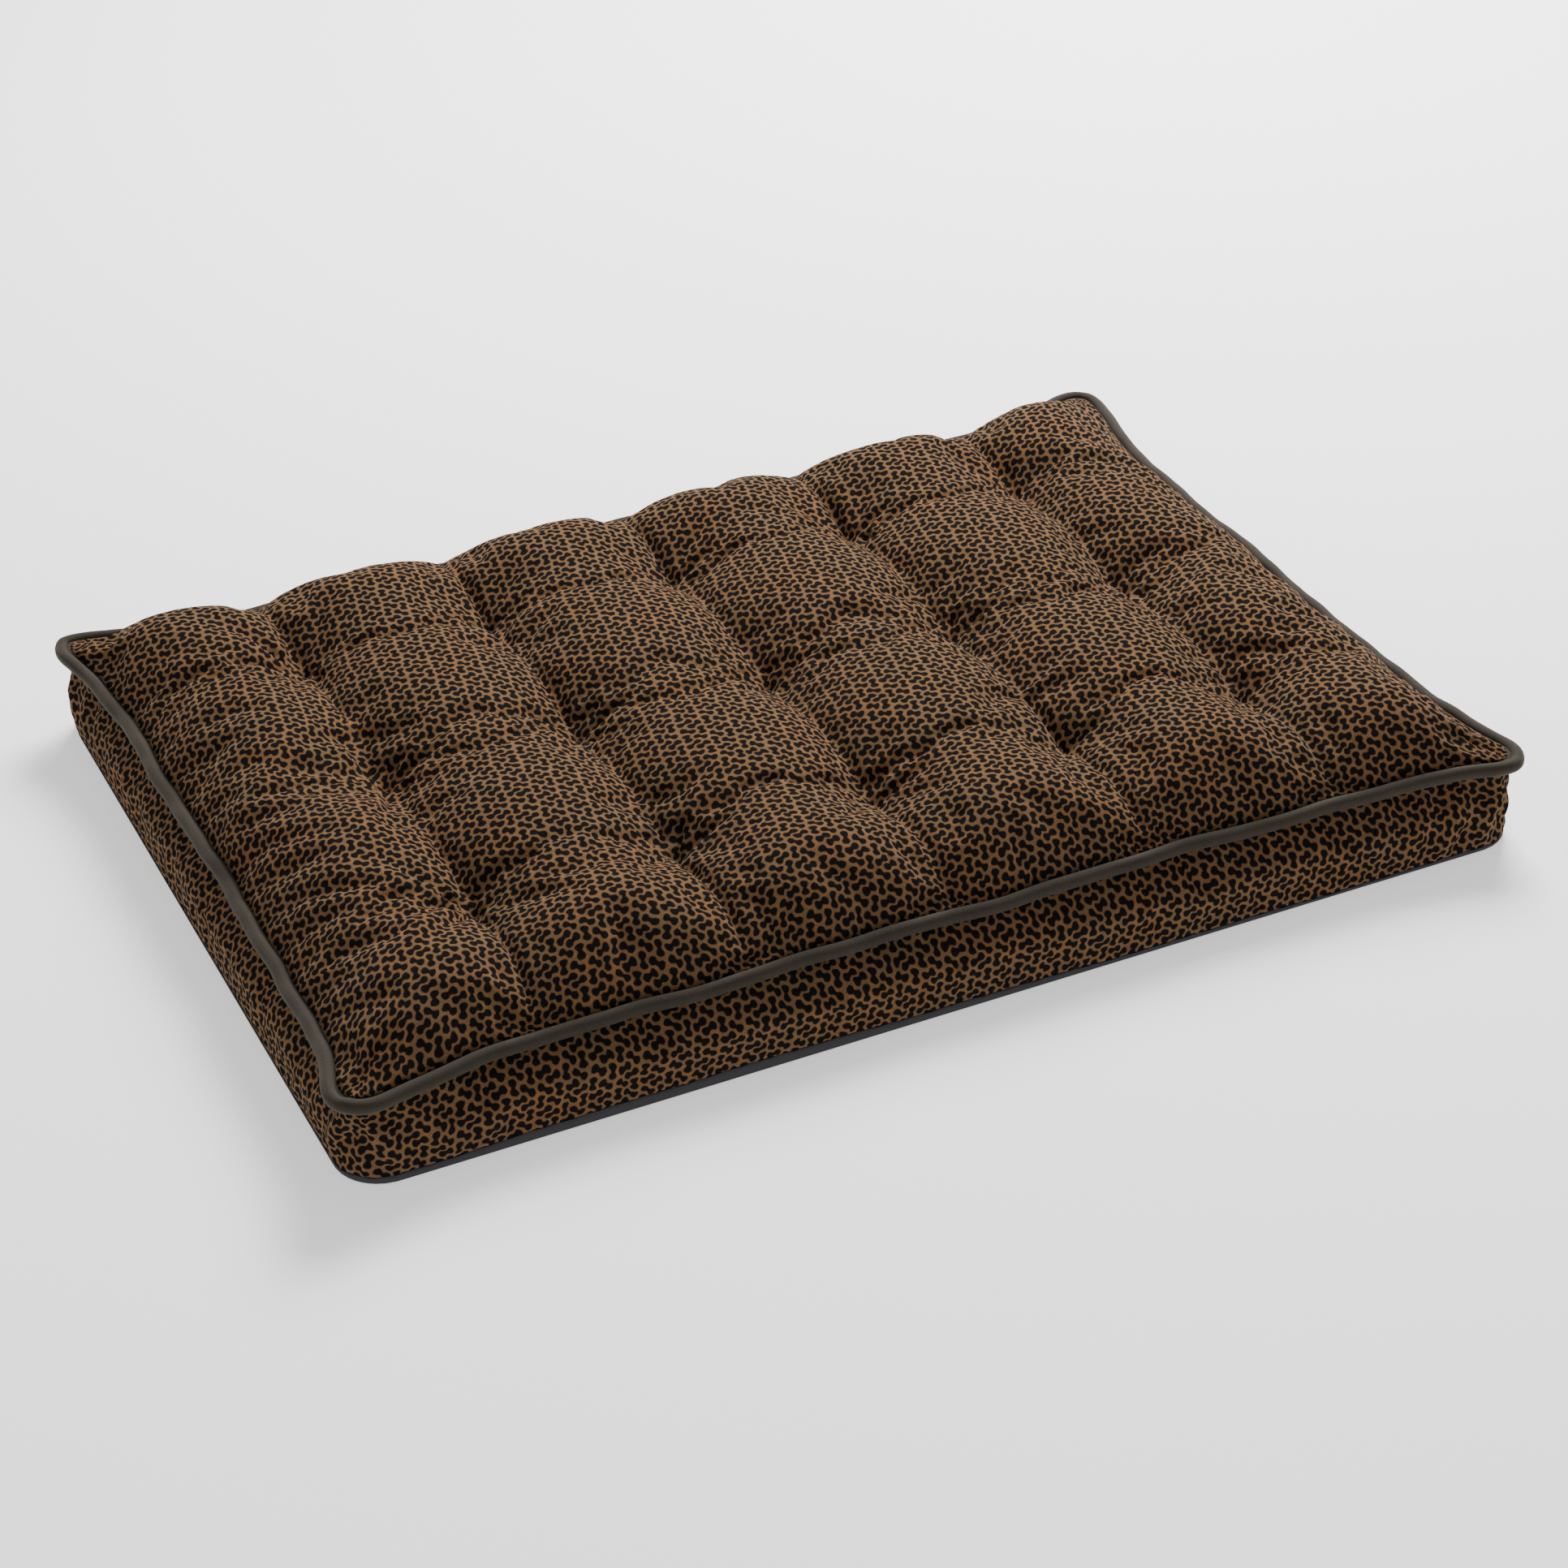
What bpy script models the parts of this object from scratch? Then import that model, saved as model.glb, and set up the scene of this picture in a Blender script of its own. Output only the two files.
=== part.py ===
"""Pet cushion bed: a tufted pillow top, piped to a boxed cover with a zipped back, on an inner cushion.

Metres, +Z up. The origin is the middle of the underside, X runs along the long side and the front
faces -Y. The zip is in the back wall. Every piece of cloth is a thin solid of its own, and pieces
that are sewn together keep SEAM_GAP between them.
"""

import math

import bmesh
import bpy
from mathutils import Vector

BED_NAME = "pet_cushion_bed"

# Overall size, between the piping's centre lines.
LENGTH = 0.914
WIDTH = 0.661
PIPING_HEIGHT = 0.064
CORNER_RADIUS = 0.036
CORNER_LINE = 0.021  # a cage line this far in gives the corner arc four equal steps

# How far the top edge is drawn in between its corners, and how quickly the corners stand out.
DRAW_IN_LONG = 0.024
DRAW_IN_SHORT = 0.017
EAR_REACH = 0.070

# Cloth and seams.
FABRIC = 0.0015
SEAM_GAP = 0.0003
SEAM_WIDTH = 0.010  # seam allowance of the piping, inside the piping

# Piping.
PIPING_RADIUS = 0.0043
PIPING_WALL = 0.0011
FLANGE_THICKNESS = 0.0010

# Pillow top.
CROWN = 0.048  # height of a puff over the seam
ROLL = 0.100  # width of the rolled edge, where the top rises to its full height
COLUMN_VALLEY = 0.014
ROW_VALLEY = 0.008
TUFT_VALLEY = 0.012  # what a tuft adds where two valleys cross
FILL_GAP = 0.0013  # between the top panel and the filling
SLOPE_STEP = 0.005  # over which the slope of the top is measured
SCRIM = 0.0010

# Tufts.
TUFT_COLUMNS = 5
TUFT_ROWS = 3
COLUMN_PITCH = 0.155
ROW_PITCH = 0.181
TIE_RADIUS = 0.0012
TIE_HOLE_CLEARANCE = 0.0004
TIE_HEAD_RADIUS = 0.0034
TIE_HEAD_HEIGHT = 0.0012
TIE_HEAD_LIFT = 0.0026  # the stitch bridges the bottom of the dimple
TIE_KNOT_RADIUS = 0.0026
TIE_KNOT_HEIGHT = 0.0024

# Boxed side wall and base.
BASE_RISE = 0.007  # height to which the base cloth turns up
BASE_INSET = 0.002
WALL_TOP_INSET = 0.006
STRAIGHT_WALL = 0.034  # below this height the wall is upright and straight

# Inner cushion.
LINER = 0.0008
INNER_INSET = 0.014
INNER_TOP_CLEARANCE = 0.004
SLAB_CLEARANCE = 0.0008  # between the fibre slab and its liner

# Zip.
ZIP_HEIGHT = 0.023
ZIP_LENGTH = 0.780
ZIP_OPENING = 0.010  # between the edges of the two back panels
TAPE_THICKNESS = 0.0008
TAPE_WIDTH = 0.0085
COIL_WIDTH = 0.0022
COIL_THICKNESS = 0.0014
COIL_PARTING = 0.0014  # between the two rows of teeth
STOP_LENGTH = 0.004

# Slider and pull.
SLIDER_LENGTH = 0.011
SLIDER_WIDTH = 0.0084
SLIDER_PLATE = 0.0010
SLIDER_POST = 0.0008
SLIDER_RAIL = 0.0010
BAIL_WIDTH = 0.0020
BAIL_THICKNESS = 0.0008
PULL_AXIS_RISE = 0.0013  # pull axis over the slider's outer plate
PULL_PIN_RADIUS = 0.0006
PULL_LENGTH = 0.024
PULL_WIDTH = 0.0064
PULL_THICKNESS = 0.0011
PULL_WINDOW = 0.0046

HALF_LENGTH = LENGTH / 2
HALF_WIDTH = WIDTH / 2
SEAM_HALF = SEAM_GAP / 2 + FLANGE_THICKNESS
PANEL_SEAT = PIPING_HEIGHT + SEAM_HALF + SEAM_GAP + FABRIC
SCRIM_TOP = PIPING_HEIGHT - SEAM_HALF - SEAM_GAP
SCRIM_BOTTOM = SCRIM_TOP - SCRIM
WALL_TOP = SCRIM_BOTTOM - SEAM_GAP
WALL_FOOT = BASE_RISE + SEAM_GAP
BACK_FACE = HALF_WIDTH - BASE_INSET
TAPE_FACE = BACK_FACE - FABRIC - SEAM_GAP
COIL_FACE = TAPE_FACE + SEAM_GAP + COIL_THICKNESS
PLATE_FACE = COIL_FACE + SEAM_GAP + SLIDER_PLATE
PULL_AXIS = PLATE_FACE + PULL_AXIS_RISE
SLIDER_REST = ZIP_LENGTH / 2 - SLIDER_LENGTH / 2

COLOURS = {
    "print_cloth": ((0.105, 0.058, 0.030), 0.9, 0.0),
    "piping_cloth": ((0.075, 0.062, 0.048), 0.9, 0.0),
    "base_cloth": ((0.033, 0.031, 0.036), 0.9, 0.0),
    "filling": ((0.86, 0.86, 0.84), 0.95, 0.0),
    "liner_cloth": ((0.72, 0.71, 0.67), 0.95, 0.0),
    "thread": ((0.050, 0.035, 0.022), 0.8, 0.0),
    "zip_nylon": ((0.040, 0.034, 0.030), 0.5, 0.0),
    "zip_metal": ((0.30, 0.27, 0.22), 0.35, 1.0),
}


# ---------------------------------------------------------------- scene and object helpers


def clear_scene():
    for thing in list(bpy.data.objects):
        bpy.data.objects.remove(thing, do_unlink=True)


def new_collection(name):
    collection = bpy.data.collections.new(name)
    bpy.context.scene.collection.children.link(collection)
    return collection


def material(name):
    """The Principled material of one kind of cloth, thread or metal."""
    found = bpy.data.materials.get(name)
    if found:
        return found
    colour, roughness, metallic = COLOURS[name]
    made = bpy.data.materials.new(name)
    made.use_nodes = True
    shader = made.node_tree.nodes["Principled BSDF"]
    shader.inputs["Base Color"].default_value = (*colour, 1)
    shader.inputs["Roughness"].default_value = roughness
    shader.inputs["Metallic"].default_value = metallic
    made.diffuse_color = (*colour, 1)
    return made


def add_object(name, data, stuff, collection, origin=(0, 0, 0)):
    thing = bpy.data.objects.new(name, data)
    thing.location = origin
    thing.data.materials.append(material(stuff))
    collection.objects.link(thing)
    return thing


def mesh_from(name, bm):
    mesh = bpy.data.meshes.new(name)
    bm.to_mesh(mesh)
    bm.free()
    return mesh


def add_solid(name, bm, stuff, collection):
    """An object from a closed bmesh, whose faces are turned outwards first."""
    bmesh.ops.recalc_face_normals(bm, faces=bm.faces)
    return add_object(name, mesh_from(name, bm), stuff, collection)


def add_sheet(name, bm, stuff, collection, thickness):
    """An object from an open sheet, thickened away from the side that its faces point to."""
    sheet = add_object(name, mesh_from(name, bm), stuff, collection)
    shell = sheet.modifiers.new("Solidify", "SOLIDIFY")
    shell.thickness = thickness
    shell.offset = -1
    shell.use_even_offset = True
    return sheet


def boolean(thing, other, operation):
    cut = thing.modifiers.new("Boolean", "BOOLEAN")
    cut.operation = operation
    cut.solver = "EXACT"
    cut.object = other


def add_box(bm, low, high):
    """A box between two corners, joined to what the bmesh already holds."""
    made = bmesh.ops.create_cube(bm, size=1)
    middle = [(a + b) / 2 for a, b in zip(low, high)]
    size = [b - a for a, b in zip(low, high)]
    bmesh.ops.scale(bm, vec=size, verts=made["verts"])
    bmesh.ops.translate(bm, vec=middle, verts=made["verts"])


# ---------------------------------------------------------------- plan shape


def cage_lines(half, pitch, count):
    """The cage's lines along one side: three at each corner, then through and between the tufts."""
    last = pitch * (count - 1) / 2
    corner = half - CORNER_RADIUS
    edge = [corner, half - CORNER_LINE, half]
    middle = [pitch * (step / 3 - (count - 1) / 2) for step in range(3 * (count - 1) + 1)]
    between = (last + corner) / 2
    return [-x for x in reversed(edge)] + [-between] + middle + [between] + edge


X_LINES = cage_lines(HALF_LENGTH, COLUMN_PITCH, TUFT_COLUMNS)
Y_LINES = cage_lines(HALF_WIDTH, ROW_PITCH, TUFT_ROWS)


def rounded(x, y):
    """Bends a square corner of the plan into a quarter circle: each square ring becomes an arc."""
    over_x = abs(x) - (HALF_LENGTH - CORNER_RADIUS)
    over_y = abs(y) - (HALF_WIDTH - CORNER_RADIUS)
    if over_x <= 0 or over_y <= 0:
        return x, y
    scale = max(over_x, over_y) / math.hypot(over_x, over_y)
    return (
        math.copysign(HALF_LENGTH - CORNER_RADIUS + over_x * scale, x),
        math.copysign(HALF_WIDTH - CORNER_RADIUS + over_y * scale, y),
    )


def drawn_in(x, y, strength):
    """Draws the sides in between the corners, which are left standing out as ears."""
    along_x = 1 - math.exp(-((max(HALF_LENGTH - abs(x), 0) / EAR_REACH) ** 1.5))
    along_y = 1 - math.exp(-((max(HALF_WIDTH - abs(y), 0) / EAR_REACH) ** 1.5))
    in_x = strength * DRAW_IN_SHORT * along_y * (abs(x) / HALF_LENGTH) ** 3
    in_y = strength * DRAW_IN_LONG * along_x * (abs(y) / HALF_WIDTH) ** 3
    return x - math.copysign(in_x, x), y - math.copysign(in_y, y)


def plan(x, y, strength):
    return drawn_in(*rounded(x, y), strength)


def rim_cells():
    """The cage's outer points, anticlockwise from the front left corner."""
    low_x, high_x, low_y, high_y = X_LINES[0], X_LINES[-1], Y_LINES[0], Y_LINES[-1]
    return (
        [(x, low_y) for x in X_LINES[:-1]]
        + [(high_x, y) for y in Y_LINES[:-1]]
        + [(x, high_y) for x in reversed(X_LINES[1:])]
        + [(low_x, y) for y in reversed(Y_LINES[1:])]
    )


def rim(inset, strength):
    """The outline as a loop of plan points, moved inwards by inset at right angles to itself."""
    loop = [Vector(plan(x, y, strength)) for x, y in rim_cells()]
    moved = []
    for i, point in enumerate(loop):
        before = (point - loop[i - 1]).normalized()
        after = (loop[(i + 1) % len(loop)] - point).normalized()
        inwards = Vector((-before.y - after.y, before.x + after.x)).normalized()
        mitre = max(inwards.dot(Vector((-after.y, after.x))), 0.5)
        moved.append(point + inwards * inset / mitre)
    return moved


def smooth_step(t):
    t = min(max(t, 0), 1)
    return t * t * (3 - 2 * t)


def wall_strength(z):
    return smooth_step((z - STRAIGHT_WALL) / (WALL_TOP - STRAIGHT_WALL))


def wall_rim(z):
    """The side wall's outer face at one height."""
    strength = wall_strength(z)
    return rim(BASE_INSET + (WALL_TOP_INSET - BASE_INSET) * strength, strength)


def tuft_places():
    return [
        (COLUMN_PITCH * (i - (TUFT_COLUMNS - 1) / 2), ROW_PITCH * (j - (TUFT_ROWS - 1) / 2))
        for j in range(TUFT_ROWS)
        for i in range(TUFT_COLUMNS)
    ]


# ---------------------------------------------------------------- pillow top


def valley(distance, pitch):
    """1 on a line of tufts, 0 half way to the next."""
    return 1 - math.sin(math.pi / 2 * min(distance / (pitch / 2), 1))


def line_distance(value, pitch, count):
    return min(abs(value - pitch * (i - (count - 1) / 2)) for i in range(count))


def edge_rise(distance):
    return 1 - (1 - min(distance / ROLL, 1)) ** 2.2


def top_height(x, y):
    """Outer face of the pillow top over a point of the plain rectangle."""
    column = valley(line_distance(x, COLUMN_PITCH, TUFT_COLUMNS), COLUMN_PITCH)
    row = valley(line_distance(y, ROW_PITCH, TUFT_ROWS), ROW_PITCH)
    sunk = column * COLUMN_VALLEY + row * ROW_VALLEY + column * row * TUFT_VALLEY
    rise = edge_rise(HALF_LENGTH - abs(x)) * edge_rise(HALF_WIDTH - abs(y))
    return PANEL_SEAT + rise * (CROWN - sunk)


def filling_height(x, y):
    """Top of the filling: under the panel, whose cloth is deeper to plumb where it slopes."""
    slope_x = (top_height(x + SLOPE_STEP, y) - top_height(x - SLOPE_STEP, y)) / (2 * SLOPE_STEP)
    slope_y = (top_height(x, y + SLOPE_STEP) - top_height(x, y - SLOPE_STEP)) / (2 * SLOPE_STEP)
    return top_height(x, y) - FABRIC * math.hypot(1, slope_x, slope_y) - FILL_GAP


def cage_grid(skip):
    """A flat grid on the cage's lines, less its skip outer lines, and each vertex's cage point.

    Every cell is split along the same diagonal, so surfaces made from it lie parallel.
    """
    xs = X_LINES[skip : len(X_LINES) - skip]
    ys = Y_LINES[skip : len(Y_LINES) - skip]
    bm = bmesh.new()
    bmesh.ops.create_grid(bm, x_segments=len(xs) - 1, y_segments=len(ys) - 1, size=1)
    cage = {}
    for vert in bm.verts:
        column = round((vert.co.x + 1) / 2 * (len(xs) - 1))
        row = round((vert.co.y + 1) / 2 * (len(ys) - 1))
        cage[vert] = (xs[column], ys[row])
        vert.co = (*cage[vert], 0)
    bmesh.ops.triangulate(bm, faces=bm.faces, quad_method="FIXED")
    return bm, cage


def hole_cutter(collection):
    """Rods that clear the tuft ties, as one cutter."""
    bm = bmesh.new()
    for x, y in tuft_places():
        x, y = plan(x, y, 1)
        made = bmesh.ops.create_cone(
            bm,
            cap_ends=True,
            segments=8,
            radius1=TIE_RADIUS + TIE_HOLE_CLEARANCE,
            radius2=TIE_RADIUS + TIE_HOLE_CLEARANCE,
            depth=2 * CROWN,
        )
        bmesh.ops.translate(bm, vec=(x, y, PIPING_HEIGHT), verts=made["verts"])
    cutter = add_solid("tie_hole_cutter", bm, "thread", collection)
    cutter.hide_render = True
    cutter.display_type = "WIRE"
    return cutter


def top_panel(collection, cutter):
    edge = dict(zip(rim_cells(), rim(PIPING_RADIUS + SEAM_GAP, 1)))
    bm, cage = cage_grid(0)
    for vert, point in cage.items():
        vert.co = (*(edge.get(point) or plan(*point, 1)), top_height(*point))
    panel = add_sheet("top_panel", bm, "print_cloth", collection, FABRIC)
    panel.data.shade_smooth()
    boolean(panel, cutter, "DIFFERENCE")


def pillow_filling(collection, cutter):
    """The batting between the top panel and the scrim: domed above, flat below."""
    bm, cage = cage_grid(1)
    for vert, point in cage.items():
        vert.co = (*plan(*point, 1), filling_height(*point))
    under = bmesh.ops.extrude_face_region(bm, geom=list(bm.faces), use_keep_orig=True)["geom"]
    for part in under:
        if isinstance(part, bmesh.types.BMVert):
            part.co.z = SCRIM_TOP + SEAM_GAP
    bmesh.ops.dissolve_faces(bm, faces=[part for part in under if isinstance(part, bmesh.types.BMFace)])
    filling = add_solid("pillow_filling", bm, "filling", collection)
    boolean(filling, cutter, "DIFFERENCE")


def flat_sheet(loop, z):
    """One flat face inside a loop of plan points, pointing up."""
    bm = bmesh.new()
    bm.faces.new([bm.verts.new((*point, z)) for point in loop])
    return bm


def tray(loop, bottom, top, mouth=()):
    """A flat floor and the walls round it, facing outwards, and the points of its upper edge.

    Walls are left out where mouth lists their places in the loop.
    """
    bm = bmesh.new()
    low = [bm.verts.new((*point, bottom)) for point in loop]
    high = [bm.verts.new((*point, top)) for point in loop]
    bm.faces.new(low[::-1])
    for i in range(len(loop)):
        if i not in mouth:
            j = (i + 1) % len(loop)
            bm.faces.new((low[i], low[j], high[j], high[i]))
    return bm, high


def quilt_scrim(collection, cutter):
    """The plain cloth under the batting, which the tufts are tied through."""
    bm = flat_sheet(rim(WALL_TOP_INSET, 1), SCRIM_TOP)
    scrim = add_sheet("quilt_scrim", bm, "liner_cloth", collection, SCRIM)
    boolean(scrim, cutter, "DIFFERENCE")


def tuft_tie(name, x, y, collection):
    """A turned stitch, leg and knot: it bridges the dimple above and is knotted under the scrim."""
    head = top_height(x, y) + TIE_HEAD_LIFT
    knot = SCRIM_BOTTOM - SEAM_GAP
    profile = [
        (0, head + TIE_HEAD_HEIGHT),
        (TIE_HEAD_RADIUS * 0.7, head + TIE_HEAD_HEIGHT * 0.8),
        (TIE_HEAD_RADIUS, head),
        (TIE_RADIUS, head - TIE_HEAD_LIFT / 2),
        (TIE_RADIUS, knot),
        (TIE_KNOT_RADIUS, knot - TIE_KNOT_HEIGHT / 2),
        (0, knot - TIE_KNOT_HEIGHT),
    ]
    bm = bmesh.new()
    verts = [bm.verts.new((radius, 0, z)) for radius, z in profile]
    for pair in zip(verts, verts[1:]):
        bm.edges.new(pair)
    tie = add_object(name, mesh_from(name, bm), "thread", collection, (*plan(x, y, 1), 0))
    turn = tie.modifiers.new("Screw", "SCREW")
    turn.steps = 6
    turn.render_steps = 6
    turn.use_merge_vertices = True
    turn.merge_threshold = 0.0001


# ---------------------------------------------------------------- piping


def piping_section():
    """The bias strip in cross-section: round the cord, then both layers inwards as the allowance."""
    outer, inner = PIPING_RADIUS, PIPING_RADIUS - PIPING_WALL
    open_outer = math.asin(SEAM_HALF / outer)
    open_inner = math.asin(SEAM_GAP / 2 / inner)

    def arc(radius, gap, steps):
        turn = 2 * math.pi - 2 * gap
        angles = [gap + turn * i / steps for i in range(steps + 1)]
        return [(radius * math.cos(a), radius * math.sin(a)) for a in angles]

    return (
        [(SEAM_WIDTH, SEAM_HALF)]
        + arc(outer, open_outer, 8)
        + [(SEAM_WIDTH, -SEAM_HALF), (SEAM_WIDTH, -SEAM_GAP / 2)]
        + arc(inner, open_inner, 6)[::-1]
        + [(SEAM_WIDTH, SEAM_GAP / 2)]
    )


def round_section(radius, sides):
    angles = [2 * math.pi * i / sides for i in range(sides)]
    return [(radius * math.cos(a), radius * math.sin(a)) for a in angles]


def swept_ring(name, section, stuff, collection):
    """A closed section, given as (inwards, up) points, carried once round the piping's centre line."""
    base = rim(0, 1)
    rings = {distance: rim(distance, 1) for distance, _ in section}
    bm = bmesh.new()
    grid = [
        [bm.verts.new((*rings[distance][i], PIPING_HEIGHT + up)) for distance, up in section]
        for i in range(len(base))
    ]
    for i, ring in enumerate(grid):
        following = grid[(i + 1) % len(grid)]
        for j in range(len(section)):
            k = (j + 1) % len(section)
            bm.faces.new((ring[j], following[j], following[k], ring[k]))
    ring = add_solid(name, bm, stuff, collection)
    ring.data.shade_smooth()


# ---------------------------------------------------------------- side walls and base


def back_seam_indices():
    """Places in the rim of the two upright seams, where the back wall meets the corners."""
    cells = rim_cells()
    back = [i for i, (x, y) in enumerate(cells) if y == Y_LINES[-1] and abs(x) < HALF_LENGTH]
    return back[1], back[-2]


def wall_strip(name, heights, indices, collection, end_gap=0):
    """An upright strip of cloth along part of the outline, between the lowest and highest height."""
    bm = bmesh.new()
    rows = []
    for z in heights:
        loop = wall_rim(z)
        points = [loop[i] for i in indices]
        points[0] = points[0] + (points[1] - points[0]).normalized() * end_gap
        points[-1] = points[-1] + (points[-2] - points[-1]).normalized() * end_gap
        rows.append([bm.verts.new((*point, z)) for point in points])
    for low, high in zip(rows, rows[1:]):
        for i in range(len(indices) - 1):
            bm.faces.new((low[i], low[i + 1], high[i + 1], high[i]))
    add_sheet(name, bm, "print_cloth", collection, FABRIC)


def side_walls(collection):
    """One band round the front and both sides, and the two panels that hold the zip at the back."""
    first, last = back_seam_indices()
    count = len(rim_cells())
    band = [(last + i) % count for i in range(count - (last - first) + 1)]
    back = list(range(first, last + 1))
    upright = (STRAIGHT_WALL, (STRAIGHT_WALL + WALL_TOP) / 2, WALL_TOP)
    wall_strip("gusset_band", (WALL_FOOT, *upright), band, collection)
    lower_edge, upper_edge = ZIP_HEIGHT - ZIP_OPENING / 2, ZIP_HEIGHT + ZIP_OPENING / 2
    end_gap = SEAM_GAP + FABRIC / 4  # the band's inner face leans towards the seam
    wall_strip("zip_panel_lower", (WALL_FOOT, lower_edge), back, collection, end_gap)
    wall_strip("zip_panel_upper", (upper_edge, *upright), back, collection, end_gap)


def base_panel(collection):
    """The base cloth: flat, and turned up all round to meet the side walls."""
    bm, _ = tray(rim(BASE_INSET, 0), 0, BASE_RISE)
    add_sheet("base_panel", bm, "base_cloth", collection, FABRIC)


# ---------------------------------------------------------------- inner cushion


def inner_cushion(collection):
    """A fibre slab in a liner bag, which is open along the back as an envelope."""
    bottom = FABRIC + SEAM_GAP
    top = SCRIM_BOTTOM - INNER_TOP_CLEARANCE
    bm, edge = tray(rim(INNER_INSET, 1), bottom, top, mouth=range(*back_seam_indices()))
    bm.faces.new(edge)
    add_sheet("inner_liner", bm, "liner_cloth", collection, LINER)
    within = LINER + SLAB_CLEARANCE
    bm = flat_sheet(rim(INNER_INSET + within, 1), top - within)
    add_sheet("inner_fibre_slab", bm, "filling", collection, top - bottom - 2 * within)


# ---------------------------------------------------------------- zip


def zip_tapes(collection):
    """Both tapes, sewn behind the edges of the back panels, and the row of teeth on each."""
    half = ZIP_LENGTH / 2
    reach = half + STOP_LENGTH + SEAM_GAP
    for side, label in ((1, "upper"), (-1, "lower")):
        inner = ZIP_HEIGHT + side * COIL_PARTING / 2
        edge, outer = inner + side * TAPE_WIDTH, inner + side * COIL_WIDTH
        bm = bmesh.new()
        add_box(
            bm,
            (-reach, TAPE_FACE - TAPE_THICKNESS, min(inner, edge)),
            (reach, TAPE_FACE, max(inner, edge)),
        )
        add_solid(f"zip_tape_{label}", bm, "zip_nylon", collection)
        bm = bmesh.new()
        add_box(
            bm,
            (-half, TAPE_FACE + SEAM_GAP, min(inner, outer)),
            (half, COIL_FACE, max(inner, outer)),
        )
        add_solid(f"zip_teeth_{label}", bm, "zip_nylon", collection)


def zip_stops(collection):
    half_width = COIL_PARTING / 2 + COIL_WIDTH + SEAM_GAP
    for side, label in ((-1, "open_end"), (1, "closed_end")):
        near = side * (ZIP_LENGTH / 2 + SEAM_GAP)
        far = near + side * STOP_LENGTH
        bm = bmesh.new()
        add_box(
            bm,
            (min(near, far), TAPE_FACE + SEAM_GAP, ZIP_HEIGHT - half_width),
            (max(near, far), PLATE_FACE, ZIP_HEIGHT + half_width),
        )
        add_solid(f"zip_stop_{label}", bm, "zip_metal", collection)


def united(name, boxes, stuff, collection, helpers, anchor):
    """One body from overlapping boxes about an anchor: the first box, with the rest joined to it."""
    made = []
    for i, (low, high) in enumerate(boxes):
        bm = bmesh.new()
        add_box(bm, low, high)
        block = add_solid(f"{name}_block_{i}" if i else name, bm, stuff, helpers if i else collection)
        block.parent = anchor
        made.append(block)
    for block in made[1:]:
        block.hide_render = True
        block.display_type = "WIRE"
        boolean(made[0], block, "UNION")


def zip_slider(collection, helpers, anchor):
    """The slider about the pull's axis: two plates, a post between the teeth, rails and a bail."""
    half, width = SLIDER_LENGTH / 2, SLIDER_WIDTH / 2
    outer = -PULL_AXIS_RISE
    under = outer - SLIDER_PLATE
    inner = TAPE_FACE - TAPE_THICKNESS - SEAM_GAP - PULL_AXIS
    rail_low = TAPE_FACE + SEAM_GAP - PULL_AXIS
    bail_in = PULL_PIN_RADIUS + 2 * SEAM_GAP
    bail_out = bail_in + BAIL_THICKNESS
    leg = PULL_WINDOW * 0.6
    boxes = [
        ((-half, under, -width), (half, outer, width)),
        ((-half, inner - SLIDER_PLATE, -width), (half, inner, width)),
        ((-half * 0.6, inner - SLIDER_PLATE / 2, -SLIDER_POST / 2),
         (half * 0.6, outer - SLIDER_PLATE / 2, SLIDER_POST / 2)),
        ((-half, rail_low, width - SLIDER_RAIL), (half, under + SLIDER_PLATE / 2, width)),
        ((-half, rail_low, -width), (half, under + SLIDER_PLATE / 2, SLIDER_RAIL - width)),
        ((-leg, outer - SLIDER_PLATE / 2, -BAIL_WIDTH / 2),
         (BAIL_THICKNESS - leg, bail_out, BAIL_WIDTH / 2)),
        ((leg - BAIL_THICKNESS, outer - SLIDER_PLATE / 2, -BAIL_WIDTH / 2),
         (leg, bail_out, BAIL_WIDTH / 2)),
        ((-leg, bail_in, -BAIL_WIDTH / 2), (leg, bail_out, BAIL_WIDTH / 2)),
    ]
    united("zip_slider", boxes, "zip_metal", collection, helpers, anchor)


def zip_pull(collection, helpers, anchor):
    """The pull, lying back along the zip: a plate with a window, and the pin that the bail holds."""
    width, half = PULL_WIDTH / 2, PULL_THICKNESS / 2
    rail = BAIL_WIDTH / 2 + 2 * SEAM_GAP
    pin = PULL_PIN_RADIUS
    boxes = [
        ((-PULL_LENGTH, -half, -width), (-PULL_WINDOW, half, width)),
        ((-PULL_WINDOW - pin, -half, rail), (pin, half, width)),
        ((-PULL_WINDOW - pin, -half, -width), (pin, half, -rail)),
        ((-pin, -pin, -width + pin), (pin, pin, width - pin)),
    ]
    united("zip_pull", boxes, "zip_metal", collection, helpers, anchor)


def main():
    clear_scene()
    bed = new_collection(BED_NAME)
    helpers = new_collection("cutters_and_blocks")
    cutter = hole_cutter(helpers)

    base_panel(bed)
    side_walls(bed)
    inner_cushion(bed)
    quilt_scrim(bed, cutter)
    pillow_filling(bed, cutter)
    top_panel(bed, cutter)
    for i, (x, y) in enumerate(tuft_places()):
        row, column = divmod(i, TUFT_COLUMNS)
        tuft_tie(f"tuft_tie_r{row + 1}_c{column + 1}", x, y, bed)

    swept_ring("piping_cover", piping_section(), "piping_cloth", bed)
    cord_radius = PIPING_RADIUS - PIPING_WALL - SEAM_GAP
    swept_ring("piping_cord", round_section(cord_radius, 6), "liner_cloth", bed)

    zip_tapes(bed)
    zip_stops(bed)
    anchor = bpy.data.objects.new("zip_pull_axis", None)
    anchor.location = (SLIDER_REST, PULL_AXIS, ZIP_HEIGHT)
    bed.objects.link(anchor)
    zip_slider(bed, helpers, anchor)
    zip_pull(bed, helpers, anchor)


main()
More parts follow.
